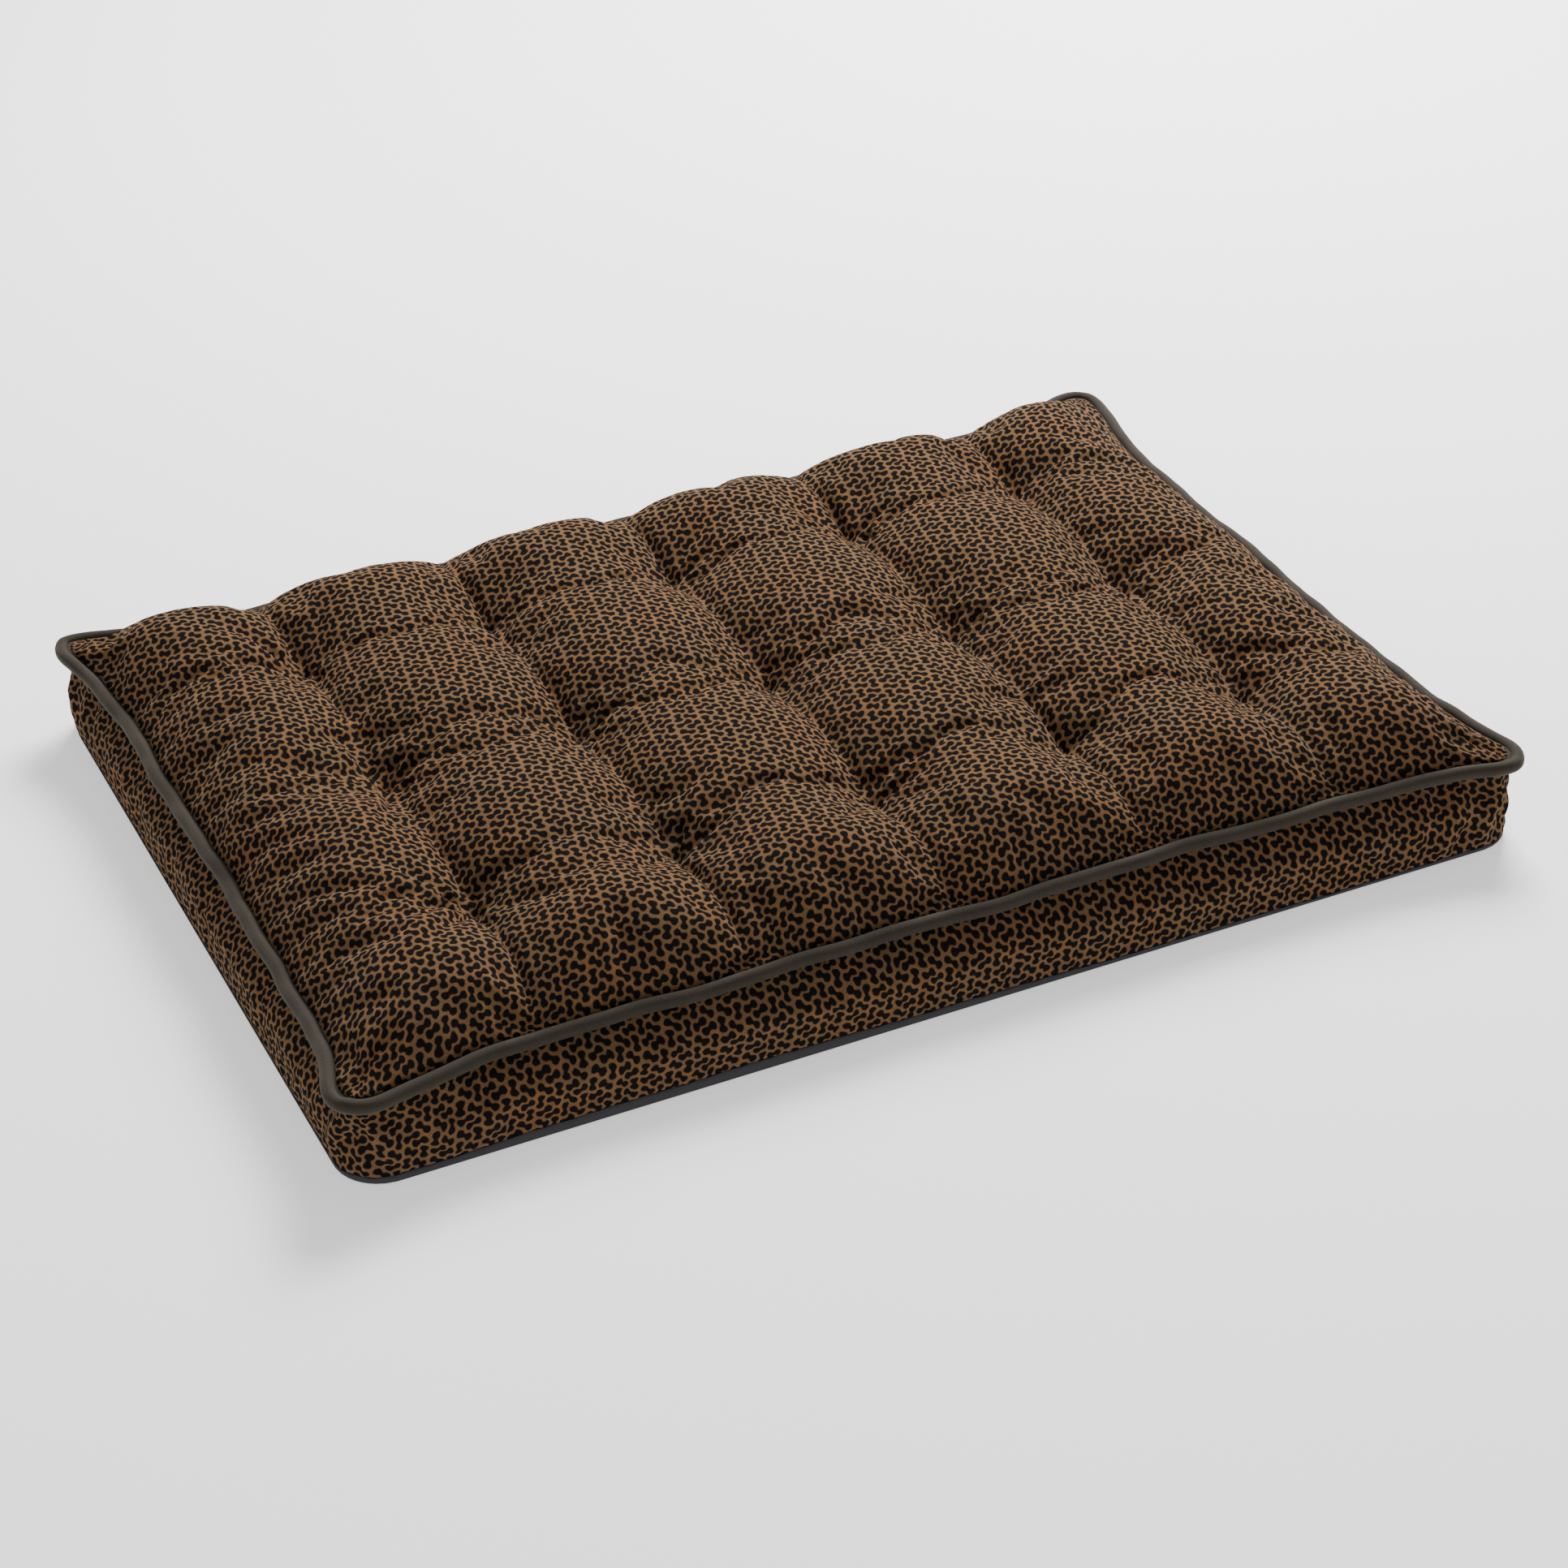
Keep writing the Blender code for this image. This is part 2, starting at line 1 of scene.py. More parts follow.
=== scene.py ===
"""Pet cushion bed: printed velvet on a tufted pillow top, piped to a boxed, zipped cover.

Metres, in the frame's axes: +Z up, X along the long side, the front towards -Y. The outline and the
pillow top follow one plan, a rectangle with rounded corners whose sides are drawn in between them.
A point of that plan is given by its place in the plain rectangle, the cage, before it is bent.
"""

import math

import bpy
import numpy as np
from bpy.props import FloatProperty, FloatVectorProperty, PointerProperty
from mathutils import Matrix, Vector


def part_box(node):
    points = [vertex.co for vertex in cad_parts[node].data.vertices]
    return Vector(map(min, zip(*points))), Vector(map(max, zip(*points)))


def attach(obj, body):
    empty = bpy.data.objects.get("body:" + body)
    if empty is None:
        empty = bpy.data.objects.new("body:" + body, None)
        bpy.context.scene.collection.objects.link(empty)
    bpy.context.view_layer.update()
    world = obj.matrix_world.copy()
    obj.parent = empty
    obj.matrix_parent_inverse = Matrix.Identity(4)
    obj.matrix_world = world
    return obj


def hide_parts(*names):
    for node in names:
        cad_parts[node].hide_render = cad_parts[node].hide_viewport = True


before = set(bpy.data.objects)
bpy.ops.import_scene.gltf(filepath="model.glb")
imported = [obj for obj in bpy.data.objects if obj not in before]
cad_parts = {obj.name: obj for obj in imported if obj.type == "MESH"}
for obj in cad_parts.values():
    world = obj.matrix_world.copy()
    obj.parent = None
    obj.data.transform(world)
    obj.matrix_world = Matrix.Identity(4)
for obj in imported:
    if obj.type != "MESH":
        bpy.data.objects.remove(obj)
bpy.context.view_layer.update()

bl_info = {
    "name": "Pet Cushion Bed",
    "version": (1, 0, 0),
    "blender": (4, 5, 0),
    "location": "3D View > Sidebar > Cushion Bed",
    "description": "Builds a tufted, piped and zipped pet cushion bed round its packed frame",
    "category": "Add Mesh",
}

BODY = "cushion"
MM = 0.001


# ---------------------------------------------------------------- what the frame gives


def frame_box(node):
    low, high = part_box(node)
    return np.array(low), np.array(high)


def extent(node):
    """Length, width and height of a CAD node's box."""
    low, high = frame_box(node)
    return tuple(float(v) for v in high - low)


LOW, HIGH = 0, 1


def face(node, end, axis=2):
    """Where a CAD node's box ends, at its low or its high end."""
    return float(frame_box(node)[end][axis])


def mid_height(node):
    return float(sum(frame_box(node))[2] / 2)


PIPING_HEIGHT = mid_height("piping_cover")
PIPING_RADIUS = face("piping_cover", HIGH) - PIPING_HEIGHT
CORD_RADIUS = face("piping_cord", HIGH) - PIPING_HEIGHT
WALL_FOOT, WALL_TOP = face("gusset_band", LOW), face("gusset_band", HIGH)
BASE_RISE = face("base_panel", HIGH)
BACK_SEAM = face("zip_panel_lower", HIGH, axis=0)
ZIP_HEIGHT = mid_height("zip_slider")
LOWER_EDGE = face("zip_panel_lower", HIGH)
UPPER_EDGE = face("zip_panel_upper", LOW)
SCRIM_TOP = face("quilt_scrim", HIGH)
ZIP_END = face("zip_stop_closed_end", HIGH, axis=0) + 0.001
TIES = sorted(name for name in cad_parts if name.startswith("tuft_tie_"))

# The plan's sizes, as in the CAD's source.
HALF_LENGTH = 0.914 / 2
HALF_WIDTH = 0.661 / 2
CORNER_RADIUS = 0.036
DRAW_IN_LONG = 0.024
DRAW_IN_SHORT = 0.017
EAR_REACH = 0.070
BASE_INSET = 0.002
WALL_TOP_INSET = 0.006
STRAIGHT_WALL = 0.034
COLUMN_PITCH = 0.155
ROW_PITCH = 0.181
COLUMNS = COLUMN_PITCH * np.arange(-2, 3)
ROWS = ROW_PITCH * np.arange(-1, 2)
SEAM_SWAY = 0.0021
EAR_LIFT = 0.0040
EAR_STICKS_OUT = 0.0042
EAR_WIDTH = 0.040

# A sewn seam's waves: strength, length, and how far a seed shifts each along.
WAVES = ((0.5, 0.231, 0.37), (0.3, 0.107, 0.61), (0.2, 0.059, 0.83))

# Thicknesses of the cloths, and the width that the zip's tape is cut to.
PRINT_CLOTH = 0.0012
PIPING_CLOTH = 0.0009
SCRIM_CLOTH = 0.0007
LINER_CLOTH = 0.0006
BASE_CLOTH = 0.0004
TAPE_CLOTH = 0.0005
TAPE_CUT = 0.0105

# Sizes of the hidden pieces and of the seams.
SCRIM_CELL = 0.010
BATTING_FLOOR = 0.0005
BASE_BEND = 0.0018
SEAM_GAP = 0.0003
CORD_SIDES = 16
INNER_CELL = 0.012
INNER_ROLL = 0.010
LINER_INSET = 0.014
FIBRE_INSET = 0.0155
FIBRE_GAP = 0.0015

# How the cloth relaxes, and how large the floor is.
STIFFNESS = 0.5
TOP_FRAMES, WALL_FRAMES = 20, 16
WALL_PRESSURE = 4.0
WALL_RUN = 0.054
FLOOR_REACH = 60.0

# Each lamp's place and size.
KEY_LAMP = (1.35, 1.60, 2.00), 1.3
FILL_LAMP = (-1.9, -2.0, 1.5), 2.4


# ---------------------------------------------------------------- shader tools


class Value:
    """A shader socket that takes part in arithmetic: each operation adds a Math node."""

    def __init__(self, graph, socket):
        self.graph, self.socket = graph, socket

    def _math(self, operation, *values):
        return self.graph.math(operation, *values)

    def __add__(self, other):
        return self._math("ADD", self, other)

    def __sub__(self, other):
        return self._math("SUBTRACT", self, other)

    def __rsub__(self, other):
        return self._math("SUBTRACT", other, self)

    def __mul__(self, other):
        return self._math("MULTIPLY", self, other)

    def __abs__(self):
        return self._math("ABSOLUTE", self)

    __radd__, __rmul__ = __add__, __mul__


class Graph:
    """A material's node tree. One method makes every node: its settings first, then its sockets."""

    def __init__(self, name):
        self.material = bpy.data.materials.new(name)
        self.material.use_nodes = True
        self.tree = self.material.node_tree
        self.tree.nodes.clear()

    def node(self, kind, settings=None, inputs=None, out=0):
        made = self.tree.nodes.new("ShaderNode" + kind)
        for name, setting in (settings or {}).items():
            if name == "stops":
                stops = made.color_ramp.elements
                while len(stops) < len(setting):
                    stops.new(1)
                for stop, (place, colour) in zip(stops, setting):
                    stop.position, stop.color = place, (*colour, 1)
            else:
                setattr(made, name, setting)
        for name, value in (inputs or {}).items():
            socket = made.inputs[name]
            if isinstance(value, Value):
                self.tree.links.new(value.socket, socket)
            elif value is not None:
                socket.default_value = value
        return Value(self, made.outputs[out]) if made.outputs else None

    def math(self, operation, *values):
        return self.node("Math", {"operation": operation}, dict(enumerate(values)))

    def vector(self, operation, *values, out=0):
        return self.node("VectorMath", {"operation": operation}, dict(enumerate(values)), out)

    def scaled(self, vector, factor):
        return self.node("VectorMath", {"operation": "SCALE"}, {0: vector, "Scale": factor})

    def noise(self, place, size, detail=2.0, roughness=0.5, out="Fac", space="3D"):
        """Soft noise whose lumps are about one size across, in the units of place."""
        return self.node(
            "TexNoise",
            {"noise_dimensions": space},
            {"Vector": place, "Scale": 1 / size, "Detail": detail, "Roughness": roughness},
            out,
        )

    def between(self, value, low, high):
        """0 below low, 1 above high, smooth between."""
        return self.node(
            "MapRange",
            {"interpolation_type": "SMOOTHSTEP"},
            {"Value": value, "From Min": low, "From Max": high},
        )

    def mix(self, factor, first, second, blend="MIX"):
        return self.node(
            "Mix",
            {"data_type": "RGBA", "blend_type": blend, "clamp_factor": True},
            {"Factor": factor, 6: first, 7: second},
            2,
        )

    def bump(self, height, depth, under=None):
        return self.node(
            "Bump", None, {"Height": height, "Distance": depth, "Strength": 1.0, "Normal": under}
        )

    def shader(self, colour, normal=None, **sockets):
        inputs = {"Base Color": colour, "Normal": normal}
        inputs.update({name.replace("_", " "): value for name, value in sockets.items()})
        return self.node("BsdfPrincipled", None, inputs)

    def finish(self, surface):
        self.node("OutputMaterial", None, {"Surface": surface})
        return self.material


def rgb(colour):
    return (*colour, 1)


def cloth_place(graph):
    """The cloth's own coordinates in metres, as it was cut."""
    return graph.node("UVMap", {"uv_map": "cloth"})


def object_place(graph):
    return graph.node("TexCoord", None, None, "Object")


# ---------------------------------------------------------------- the print

# Dumbbells on a triangular lattice: each covers two neighbouring points, its first point and the
# next along one of three directions. Six of them fill one cell, which repeats along two steps.
PRINT_STEPS = ((3, 1), (-3, 3))
PRINT_DIRECTIONS = ((1, 0), (0, 1), (-1, 1))
PRINT_DUMBBELLS = (
    ((-2, 2), 0), ((0, 0), 0), ((2, 1), 1), ((0, 1), 1), ((-1, 3), 2), ((1, 2), 2),
)


def lattice_point(pitch, turn, i, j):
    """A lattice point in the cloth's plane, with the whole lattice turned."""
    x, y = pitch * (i + j / 2), pitch * j * math.sqrt(3) / 2
    return np.array([
        x * math.cos(turn) - y * math.sin(turn),
        x * math.sin(turn) + y * math.cos(turn),
    ])


def dumbbell_distance(graph, place, look):
    """Distance to the nearest dumbbell's edge, negative inside.

    Each dumbbell is a bar with a flattened lobe at each end, blended. The place is wrapped into the
    cell about the dumbbell's middle, so one dumbbell gives its whole lattice.
    """
    pitch, turn = look.motif_pitch, look.motif_turn
    steps = np.array([lattice_point(pitch, turn, *step) for step in PRINT_STEPS])
    back = np.linalg.inv(steps.T)
    u, v = (graph.vector("DOT_PRODUCT", place, (*row, 0), out=1) for row in back)
    nearest = None
    for start, way in PRINT_DUMBBELLS:
        run = lattice_point(pitch, turn, *PRINT_DIRECTIONS[way])
        centre = back @ (lattice_point(pitch, turn, *start) + run / 2)
        du = graph.math("WRAP", u - centre[0], 0.5, -0.5)
        dv = graph.math("WRAP", v - centre[1], 0.5, -0.5)
        axis = run / np.linalg.norm(run)
        side = np.array([-axis[1], axis[0]])
        along = abs(du * (steps[0] @ axis) + dv * (steps[1] @ axis))
        across = abs(du * (steps[0] @ side) + dv * (steps[1] @ side))
        past = (along - pitch * look.lobe_place) * look.lobe_squeeze
        lobe = graph.math("SQRT", past * past + across * across) - look.lobe_radius
        bar = graph.math("MAXIMUM", across - look.neck, along - pitch / 2)
        whole = graph.math("SMOOTH_MIN", lobe, bar, 2 * look.neck)
        nearest = whole if nearest is None else graph.math("MINIMUM", nearest, whole)
    return nearest


def print_material(look):
    """Velvet printed with dark dumbbells on tan: two piles mixed by the print, both brushed. The
    tan carries painted highlight and painted shade of the pile; the black carries a painted
    highlight.
    """
    graph = Graph("printed_velvet")
    cloth = cloth_place(graph)
    drift = graph.vector("SUBTRACT", graph.noise(cloth, 22 * MM, 1, out="Color"), (0.5, 0.5, 0.5))
    rough = graph.vector("SUBTRACT", graph.noise(cloth, 1.6 * MM, 2, out="Color"), (0.5, 0.5, 0.5))
    place = graph.vector("ADD", cloth, graph.scaled(drift, look.print_drift))
    place = graph.vector("ADD", place, graph.scaled(rough, look.print_fray))
    edge = dumbbell_distance(graph, place, look)
    dark = 1 - graph.between(edge, -0.35 * MM, 0.55 * MM)

    # Painted shade: large patches where the tan turns to the olive of pile that leans away from the
    # light.
    pile_light_shade_patches = graph.between(graph.noise(cloth, 60 * MM, 3, 0.6), 0.34, 0.66)
    # Painted highlight: small patches of the tan lightened where the pile would lean to the light.
    painted_highlight_mask = graph.between(graph.noise(cloth, 7 * MM, 2), 0.38, 0.68)
    pile_and_painted_light = graph.noise(cloth, 0.9 * MM, 2, 0.7)
    tan = graph.mix(painted_highlight_mask, rgb(look.ground), rgb(look.ground_painted_highlight))
    tan = graph.mix(pile_light_shade_patches * 0.55, tan, rgb(look.ground_painted_shade))
    # The pile's noise is a bump and also painted light: painted shade between pile tufts on the
    # tan, and a painted highlight on the black.
    tan = graph.mix(pile_and_painted_light * 0.75, tan, rgb(look.ground_pile_shade))
    black = graph.mix(graph.between(pile_and_painted_light, 0.45, 0.8), rgb(look.motif), rgb(look.motif_pile_highlight))

    pile = graph.bump(pile_and_painted_light, 0.35 * MM)
    crush = graph.bump(graph.noise(cloth, 11 * MM, 3, 0.55), 1.1 * MM, pile)
    ground = graph.shader(
        tan, crush, Roughness=1.0, Specular_IOR_Level=0.06, Sheen_Weight=look.ground_sheen,
        Sheen_Roughness=0.38, Sheen_Tint=rgb(look.sheen_tint),
    )
    motif = graph.shader(
        black, crush, Roughness=1.0, Specular_IOR_Level=0.02, Sheen_Weight=look.motif_sheen,
        Sheen_Roughness=0.42, Sheen_Tint=rgb(look.motif_tint),
    )
    mixed = graph.node("MixShader", None, {0: dark, 1: ground, 2: motif})
    return graph.finish(mixed)


# ---------------------------------------------------------------- the other finishes


def piping_material(look):
    """Plain ribbed velvet, cut on the bias: ribs cross the piping. Its colour is painted light and
    shade: patches between lit and shaded pile, and painted shade in the pile's hollows.
    """
    graph = Graph("piping_velvet")
    cloth = cloth_place(graph)
    pile_and_painted_light = graph.noise(cloth, 0.8 * MM, 2, 0.7)
    pile_light_shade_patches = graph.noise(cloth, 30 * MM, 3)
    ribs = graph.node(
        "TexWave", {"wave_type": "BANDS", "bands_direction": "X"},
        {"Vector": cloth, "Scale": 0.314 / (1.15 * MM), "Distortion": 1.2, "Detail": 1.0},
        "Fac",
    )
    # Painted light and shade: patches between shaded and lit pile, then painted shade in the pile's
    # hollows.
    colour = graph.mix(pile_light_shade_patches, rgb(look.piping_shaded_pile), rgb(look.piping_lit_pile))
    colour = graph.mix(pile_and_painted_light * 0.5, colour, rgb(look.piping_shaded_pile))
    normal = graph.bump(ribs, 0.16 * MM, graph.bump(pile_and_painted_light, 0.2 * MM))
    return graph.finish(graph.shader(
        colour, normal, Roughness=0.82, Specular_IOR_Level=0.2, Sheen_Weight=0.22,
        Sheen_Roughness=0.4, Sheen_Tint=rgb(look.piping_tint),
    ))


def weave(graph, place, pitch):
    """A plain weave as a height: warp and weft bands that pass over each other by turns."""
    x = graph.vector("DOT_PRODUCT", place, (math.pi / pitch, 0, 0), out=1)
    y = graph.vector("DOT_PRODUCT", place, (0, math.pi / pitch, 0), out=1)
    return graph.math("SINE", x) * graph.math("SINE", y)


def woven_material(name, thread, shade, pitch, roughness, sheen):
    """Plain woven cloth of one colour, with slubs, and painted shade in the weave's hollows."""
    graph = Graph(name)
    cloth = cloth_place(graph)
    height = weave(graph, cloth, pitch)
    slub = graph.noise(cloth, 9 * MM, 3)
    colour = graph.mix(graph.between(slub, 0.3, 0.7), rgb(thread), rgb(shade))
    # Painted shade: the weave's low places darkened towards the shade colour.
    colour = graph.mix(graph.between(height, -0.9, 0.2) * 0.6, rgb(shade), colour)
    return graph.finish(graph.shader(
        colour, graph.bump(height, 0.15 * MM, graph.bump(slub, 0.4 * MM)), Roughness=roughness,
        Sheen_Weight=sheen, Sheen_Roughness=0.5,
    ))


def fibre_material():
    """Bonded polyester fibre: white, matted, with strands in every direction."""
    graph = Graph("polyester_fibre")
    place = object_place(graph)
    strands = graph.node(
        "TexNoise", {"noise_type": "RIDGED_MULTIFRACTAL"},
        {"Vector": place, "Scale": 1 / (6 * MM), "Detail": 5.0, "Distortion": 1.5}, "Fac",
    )
    clumps = graph.noise(place, 28 * MM, 4, 0.6)
    colour = graph.mix(clumps, (0.74, 0.73, 0.70, 1), (0.90, 0.90, 0.88, 1))
    colour = graph.mix(graph.between(strands, 0.2, 1.2), colour, (0.97, 0.97, 0.96, 1))
    normal = graph.bump(strands, 0.7 * MM, graph.bump(clumps, 4 * MM))
    return graph.finish(graph.shader(
        colour, normal, Roughness=0.95, Sheen_Weight=0.3, Sheen_Roughness=0.6,
    ))


def thread_material(name, light, dark, twist):
    """Twisted thread: bands that run round it at a slant, in the piece's own coordinates; the
    darker band in each groove between the plies is painted shade.
    """
    graph = Graph(name)
    cloth = cloth_place(graph)
    slant = graph.vector("DOT_PRODUCT", cloth, (2 * math.pi / twist, 2 * math.pi / twist, 0), out=1)
    ply = graph.math("SINE", slant)
    # Painted shade: darker where the ply's height is low, in the grooves.
    colour = graph.mix(graph.between(ply, -1, 0.6), rgb(dark), rgb(light))
    return graph.finish(graph.shader(
        colour, graph.bump(ply, 0.2 * MM), Roughness=0.75, Sheen_Weight=0.25, Sheen_Roughness=0.5,
    ))


def nylon_material(name, colour):
    """Moulded nylon, slightly uneven in gloss."""
    graph = Graph(name)
    haze = graph.noise(object_place(graph), 4 * MM, 3)
    return graph.finish(graph.shader(
        graph.mix(haze, rgb(colour), rgb([1.5 * c for c in colour])),
        graph.bump(haze, 0.05 * MM), Roughness=haze * 0.25 + 0.32,
    ))


def metal_material(name, colour):
    """Antique plated metal on a fine grain: darker in patches, rubbed bright between."""
    graph = Graph(name)
    place = object_place(graph)
    rub = graph.noise(place, 3 * MM, 4, 0.6)
    grain = graph.noise(place, 0.35 * MM, 2)
    worn = graph.between(rub, 0.4, 0.62)
    return graph.finish(graph.shader(
        graph.mix(worn, rgb([0.45 * c for c in colour]), rgb(colour)),
        graph.bump(grain, 0.03 * MM), Metallic=1.0, Roughness=0.46 - worn * 0.16,
    ))


# ---------------------------------------------------------------- mesh tools


def grid_faces(rows, columns):
    """The quads of a grid whose points run row by row."""
    index = np.arange(rows * columns).reshape(rows, columns)
    return stacked(index[:-1, :-1], index[:-1, 1:], index[1:, 1:], index[1:, :-1]).reshape(-1, 4)


def build_mesh(name, points, faces, cloth=None):
    """A mesh from arrays: points (n, 3), faces (m, k), and a UV map in metres from each point's or
    each face corner's place on the cloth."""
    points, faces = np.asarray(points, float).reshape(-1, 3), np.asarray(faces)
    mesh = bpy.data.meshes.new(name)
    corners = faces.shape[1]
    mesh.vertices.add(len(points))
    mesh.vertices.foreach_set("co", points.astype(np.float32).ravel())
    mesh.loops.add(faces.size)
    mesh.loops.foreach_set("vertex_index", faces.astype(np.int32).ravel())
    mesh.polygons.add(len(faces))
    mesh.polygons.foreach_set("loop_start", np.arange(0, faces.size, corners, dtype=np.int32))
    mesh.update(calc_edges=True)
    mesh.shade_smooth()
    if cloth is not None:
        cloth = np.asarray(cloth, float)
        per_corner = cloth if cloth.ndim == 3 else cloth[faces]
        layer = mesh.uv_layers.new(name="cloth")
        layer.data.foreach_set("uv", per_corner.astype(np.float32).ravel())
    return mesh


def add_piece(name, shape, look, node, cloth=None, body=BODY, thickness=0.0):
    """A finished piece that stands for a CAD node, from its points and faces. A thickness turns a
    sheet into a thin solid, away from the side that its faces point to."""
    piece = bpy.data.objects.new(name, build_mesh(name, *shape, cloth))
    bpy.context.scene.collection.objects.link(piece)
    piece.data.materials.append(finish(look))
    if thickness:
        shell = piece.modifiers.new("Cloth thickness", "SOLIDIFY")
        shell.thickness, shell.offset = thickness, -1
    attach(piece, body)
    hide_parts(node)
    return piece


def lofted(rings, ends="both"):
    """Points and triangles between rings of points (n, k, 3), which go anticlockwise as seen from
    ahead. Both ends, or the first, are closed on their middles, or the two ends are joined."""
    rings = np.asarray(rings, float)
    count, sides = rings.shape[:2]
    index = np.arange(count * sides).reshape(count, sides)
    here, there = (index, np.roll(index, -1, 0)) if ends == "joined" else (index[:-1], index[1:])
    quads = stacked(here, np.roll(here, -1, 1), np.roll(there, -1, 1), there).reshape(-1, 4)
    faces, points = [quads[:, [0, 1, 2]], quads[:, [0, 2, 3]]], [rings.reshape(-1, 3)]
    closed = {"both": ((0, 1), (-1, -1)), "first": ((0, 1),), "joined": ()}[ends]
    for centre, (end, step) in enumerate(closed):
        fan = np.full((sides, 3), count * sides + centre)
        fan[:, 1], fan[:, 2] = np.roll(index[end], -step), index[end]
        faces.append(fan)
        points.append(rings[end].mean(0, keepdims=True))
    return np.concatenate(points), np.concatenate(faces)


def tube_rings(points, radius, sides, ring=False):
    """Circles round a line: each lies across the line, set out from a fixed side direction."""
    points = np.asarray(points, float)
    ahead = np.roll(points, -1, 0) - np.roll(points, 1, 0) if ring else np.gradient(points, axis=0)
    ahead /= np.linalg.norm(ahead, axis=1, keepdims=True)
    side = np.cross(ahead, (0.31, 0.17, 0.94))
    side /= np.linalg.norm(side, axis=1, keepdims=True)
    up = np.cross(ahead, side)
    angle = 2 * np.pi * np.arange(sides) / sides
    around = np.cos(angle)[:, None] * side[:, None] + np.sin(angle)[:, None] * up[:, None]
    return points[:, None] + np.reshape(radius, (-1, 1, 1)) * around


def merged(parts):
    """One list of points and one of faces from several."""
    points, faces, first = [], [], 0
    for part_points, part_faces in parts:
        points.append(part_points)
        faces.append(part_faces + first)
        first += len(part_points)
    return np.concatenate(points), np.concatenate(faces)


def copied(points, faces, shifts):
    """One shape repeated at each shift."""
    shifts = np.asarray(shifts, float)
    many = points[None] + shifts[:, None]
    steps = len(points) * np.arange(len(shifts))[:, None, None]
    return many.reshape(-1, 3), (faces[None] + steps).reshape(-1, 3)


# ---------------------------------------------------------------- plan shape


def stacked(*parts):
    """Points from arrays or numbers of their coordinates, or faces from those of their corners."""
    return np.stack(np.broadcast_arrays(*parts), axis=-1)


def to_line(value, lines):
    """Distance to the nearest of the lines."""
    return np.abs(value[..., None] - lines).min(-1)


def from_edge(x, y):
    """How far a cage point is from the nearer short side and from the nearer long side."""
    return HALF_LENGTH - np.abs(x), HALF_WIDTH - np.abs(y)


def rounded(x, y):
    """Bends a square corner of the cage into a quarter circle: each square ring becomes an arc."""
    over_x = np.abs(x) - (HALF_LENGTH - CORNER_RADIUS)
    over_y = np.abs(y) - (HALF_WIDTH - CORNER_RADIUS)
    corner = (over_x > 0) & (over_y > 0)
    scale = np.maximum(over_x, over_y) / np.maximum(np.hypot(over_x, over_y), 1e-9)
    return (
        np.where(corner, np.sign(x) * (HALF_LENGTH - CORNER_RADIUS + over_x * scale), x),
        np.where(corner, np.sign(y) * (HALF_WIDTH - CORNER_RADIUS + over_y * scale), y),
    )


def drawn_in(x, y, strength):
    """Draws the sides in between the corners, which are left standing out as ears."""
    along_x = 1 - np.exp(-((np.maximum(HALF_LENGTH - np.abs(x), 0) / EAR_REACH) ** 1.5))
    along_y = 1 - np.exp(-((np.maximum(HALF_WIDTH - np.abs(y), 0) / EAR_REACH) ** 1.5))
    in_x = strength * DRAW_IN_SHORT * along_y * (np.abs(x) / HALF_LENGTH) ** 3
    in_y = strength * DRAW_IN_LONG * along_x * (np.abs(y) / HALF_WIDTH) ** 3
    return x - np.sign(x) * in_x, y - np.sign(y) * in_y


def waver(along, seed):
    """The hand-sewn unevenness of a seam, about 1 either way: waves out of step, summed."""
    return sum(
        strength * np.sin(2 * np.pi * (along / length + step * seed))
        for strength, length, step in WAVES
    )


def moved_in(x, half, inset):
    """A cage ordinate with the edge moved inwards; the middle of the cage hardly moves."""
    return x - np.sign(x) * inset * (np.abs(x) / half) ** 6


def sewn(x, y, strength, inset=0.0):
    """Plan of a cage point, moved inwards by inset at the edge, with the seam's unevenness."""
    near_x, near_y = (np.abs(x) / HALF_LENGTH) ** 8, (np.abs(y) / HALF_WIDTH) ** 8
    x, y = moved_in(x, HALF_LENGTH, inset), moved_in(y, HALF_WIDTH, inset)
    place_x, place_y = drawn_in(*rounded(x, y), strength)
    sway = SEAM_SWAY * strength
    reach = np.hypot(*from_edge(x, y))
    ear = EAR_STICKS_OUT * strength * np.exp(-((reach / EAR_WIDTH) ** 2))
    return (
        place_x + sway * near_x * waver(y, np.sign(x) + 2.0) + np.sign(x) * ear,
        place_y + sway * near_y * waver(x, np.sign(y) + 5.0) + np.sign(y) * ear,
    )


def seam_lift(x, y):
    """How far the seam stands over its usual height: up at the corners, wavering between them."""
    reach = np.hypot(*from_edge(x, y))
    near = np.maximum(np.abs(x) / HALF_LENGTH, np.abs(y) / HALF_WIDTH) ** 8
    ears = EAR_LIFT * np.exp(-((reach / EAR_REACH) ** 2))
    return near * (ears + SEAM_SWAY * 0.6 * waver(x + 1.7 * y, 3.0))


def base_seam(x, y):
    """Height of the base seam along the foot of the wall: uneven, low at the sides and corners,
    and highest along the left of the front."""
    front = np.exp(-(((x + 0.20) / 0.26) ** 2) - ((y + HALF_WIDTH) / 0.03) ** 2)
    back = smooth_step((y - HALF_WIDTH) / 0.02 + 1) * smooth_step((HALF_LENGTH - np.abs(x)) / 0.03)
    unevenness = 0.7 * MM * waver(1.3 * x - y, 7.0) + 0.35 * MM * np.sin(x / 0.0021 + y / 0.0017)
    return 3.6 * MM + unevenness + (BASE_RISE - 1.5 * MM) * np.maximum(front, 0.55 * back)


def wall(x, y, z):
    """A point of a wall's outer face at a height. The wall stands upright to STRAIGHT_WALL and then
    follows the outline inwards between the ears."""
    strength = smooth_step((z - STRAIGHT_WALL) / (WALL_TOP - STRAIGHT_WALL))
    inset = BASE_INSET + (WALL_TOP_INSET - BASE_INSET) * strength
    return stacked(*sewn(x, y, strength, inset), z)


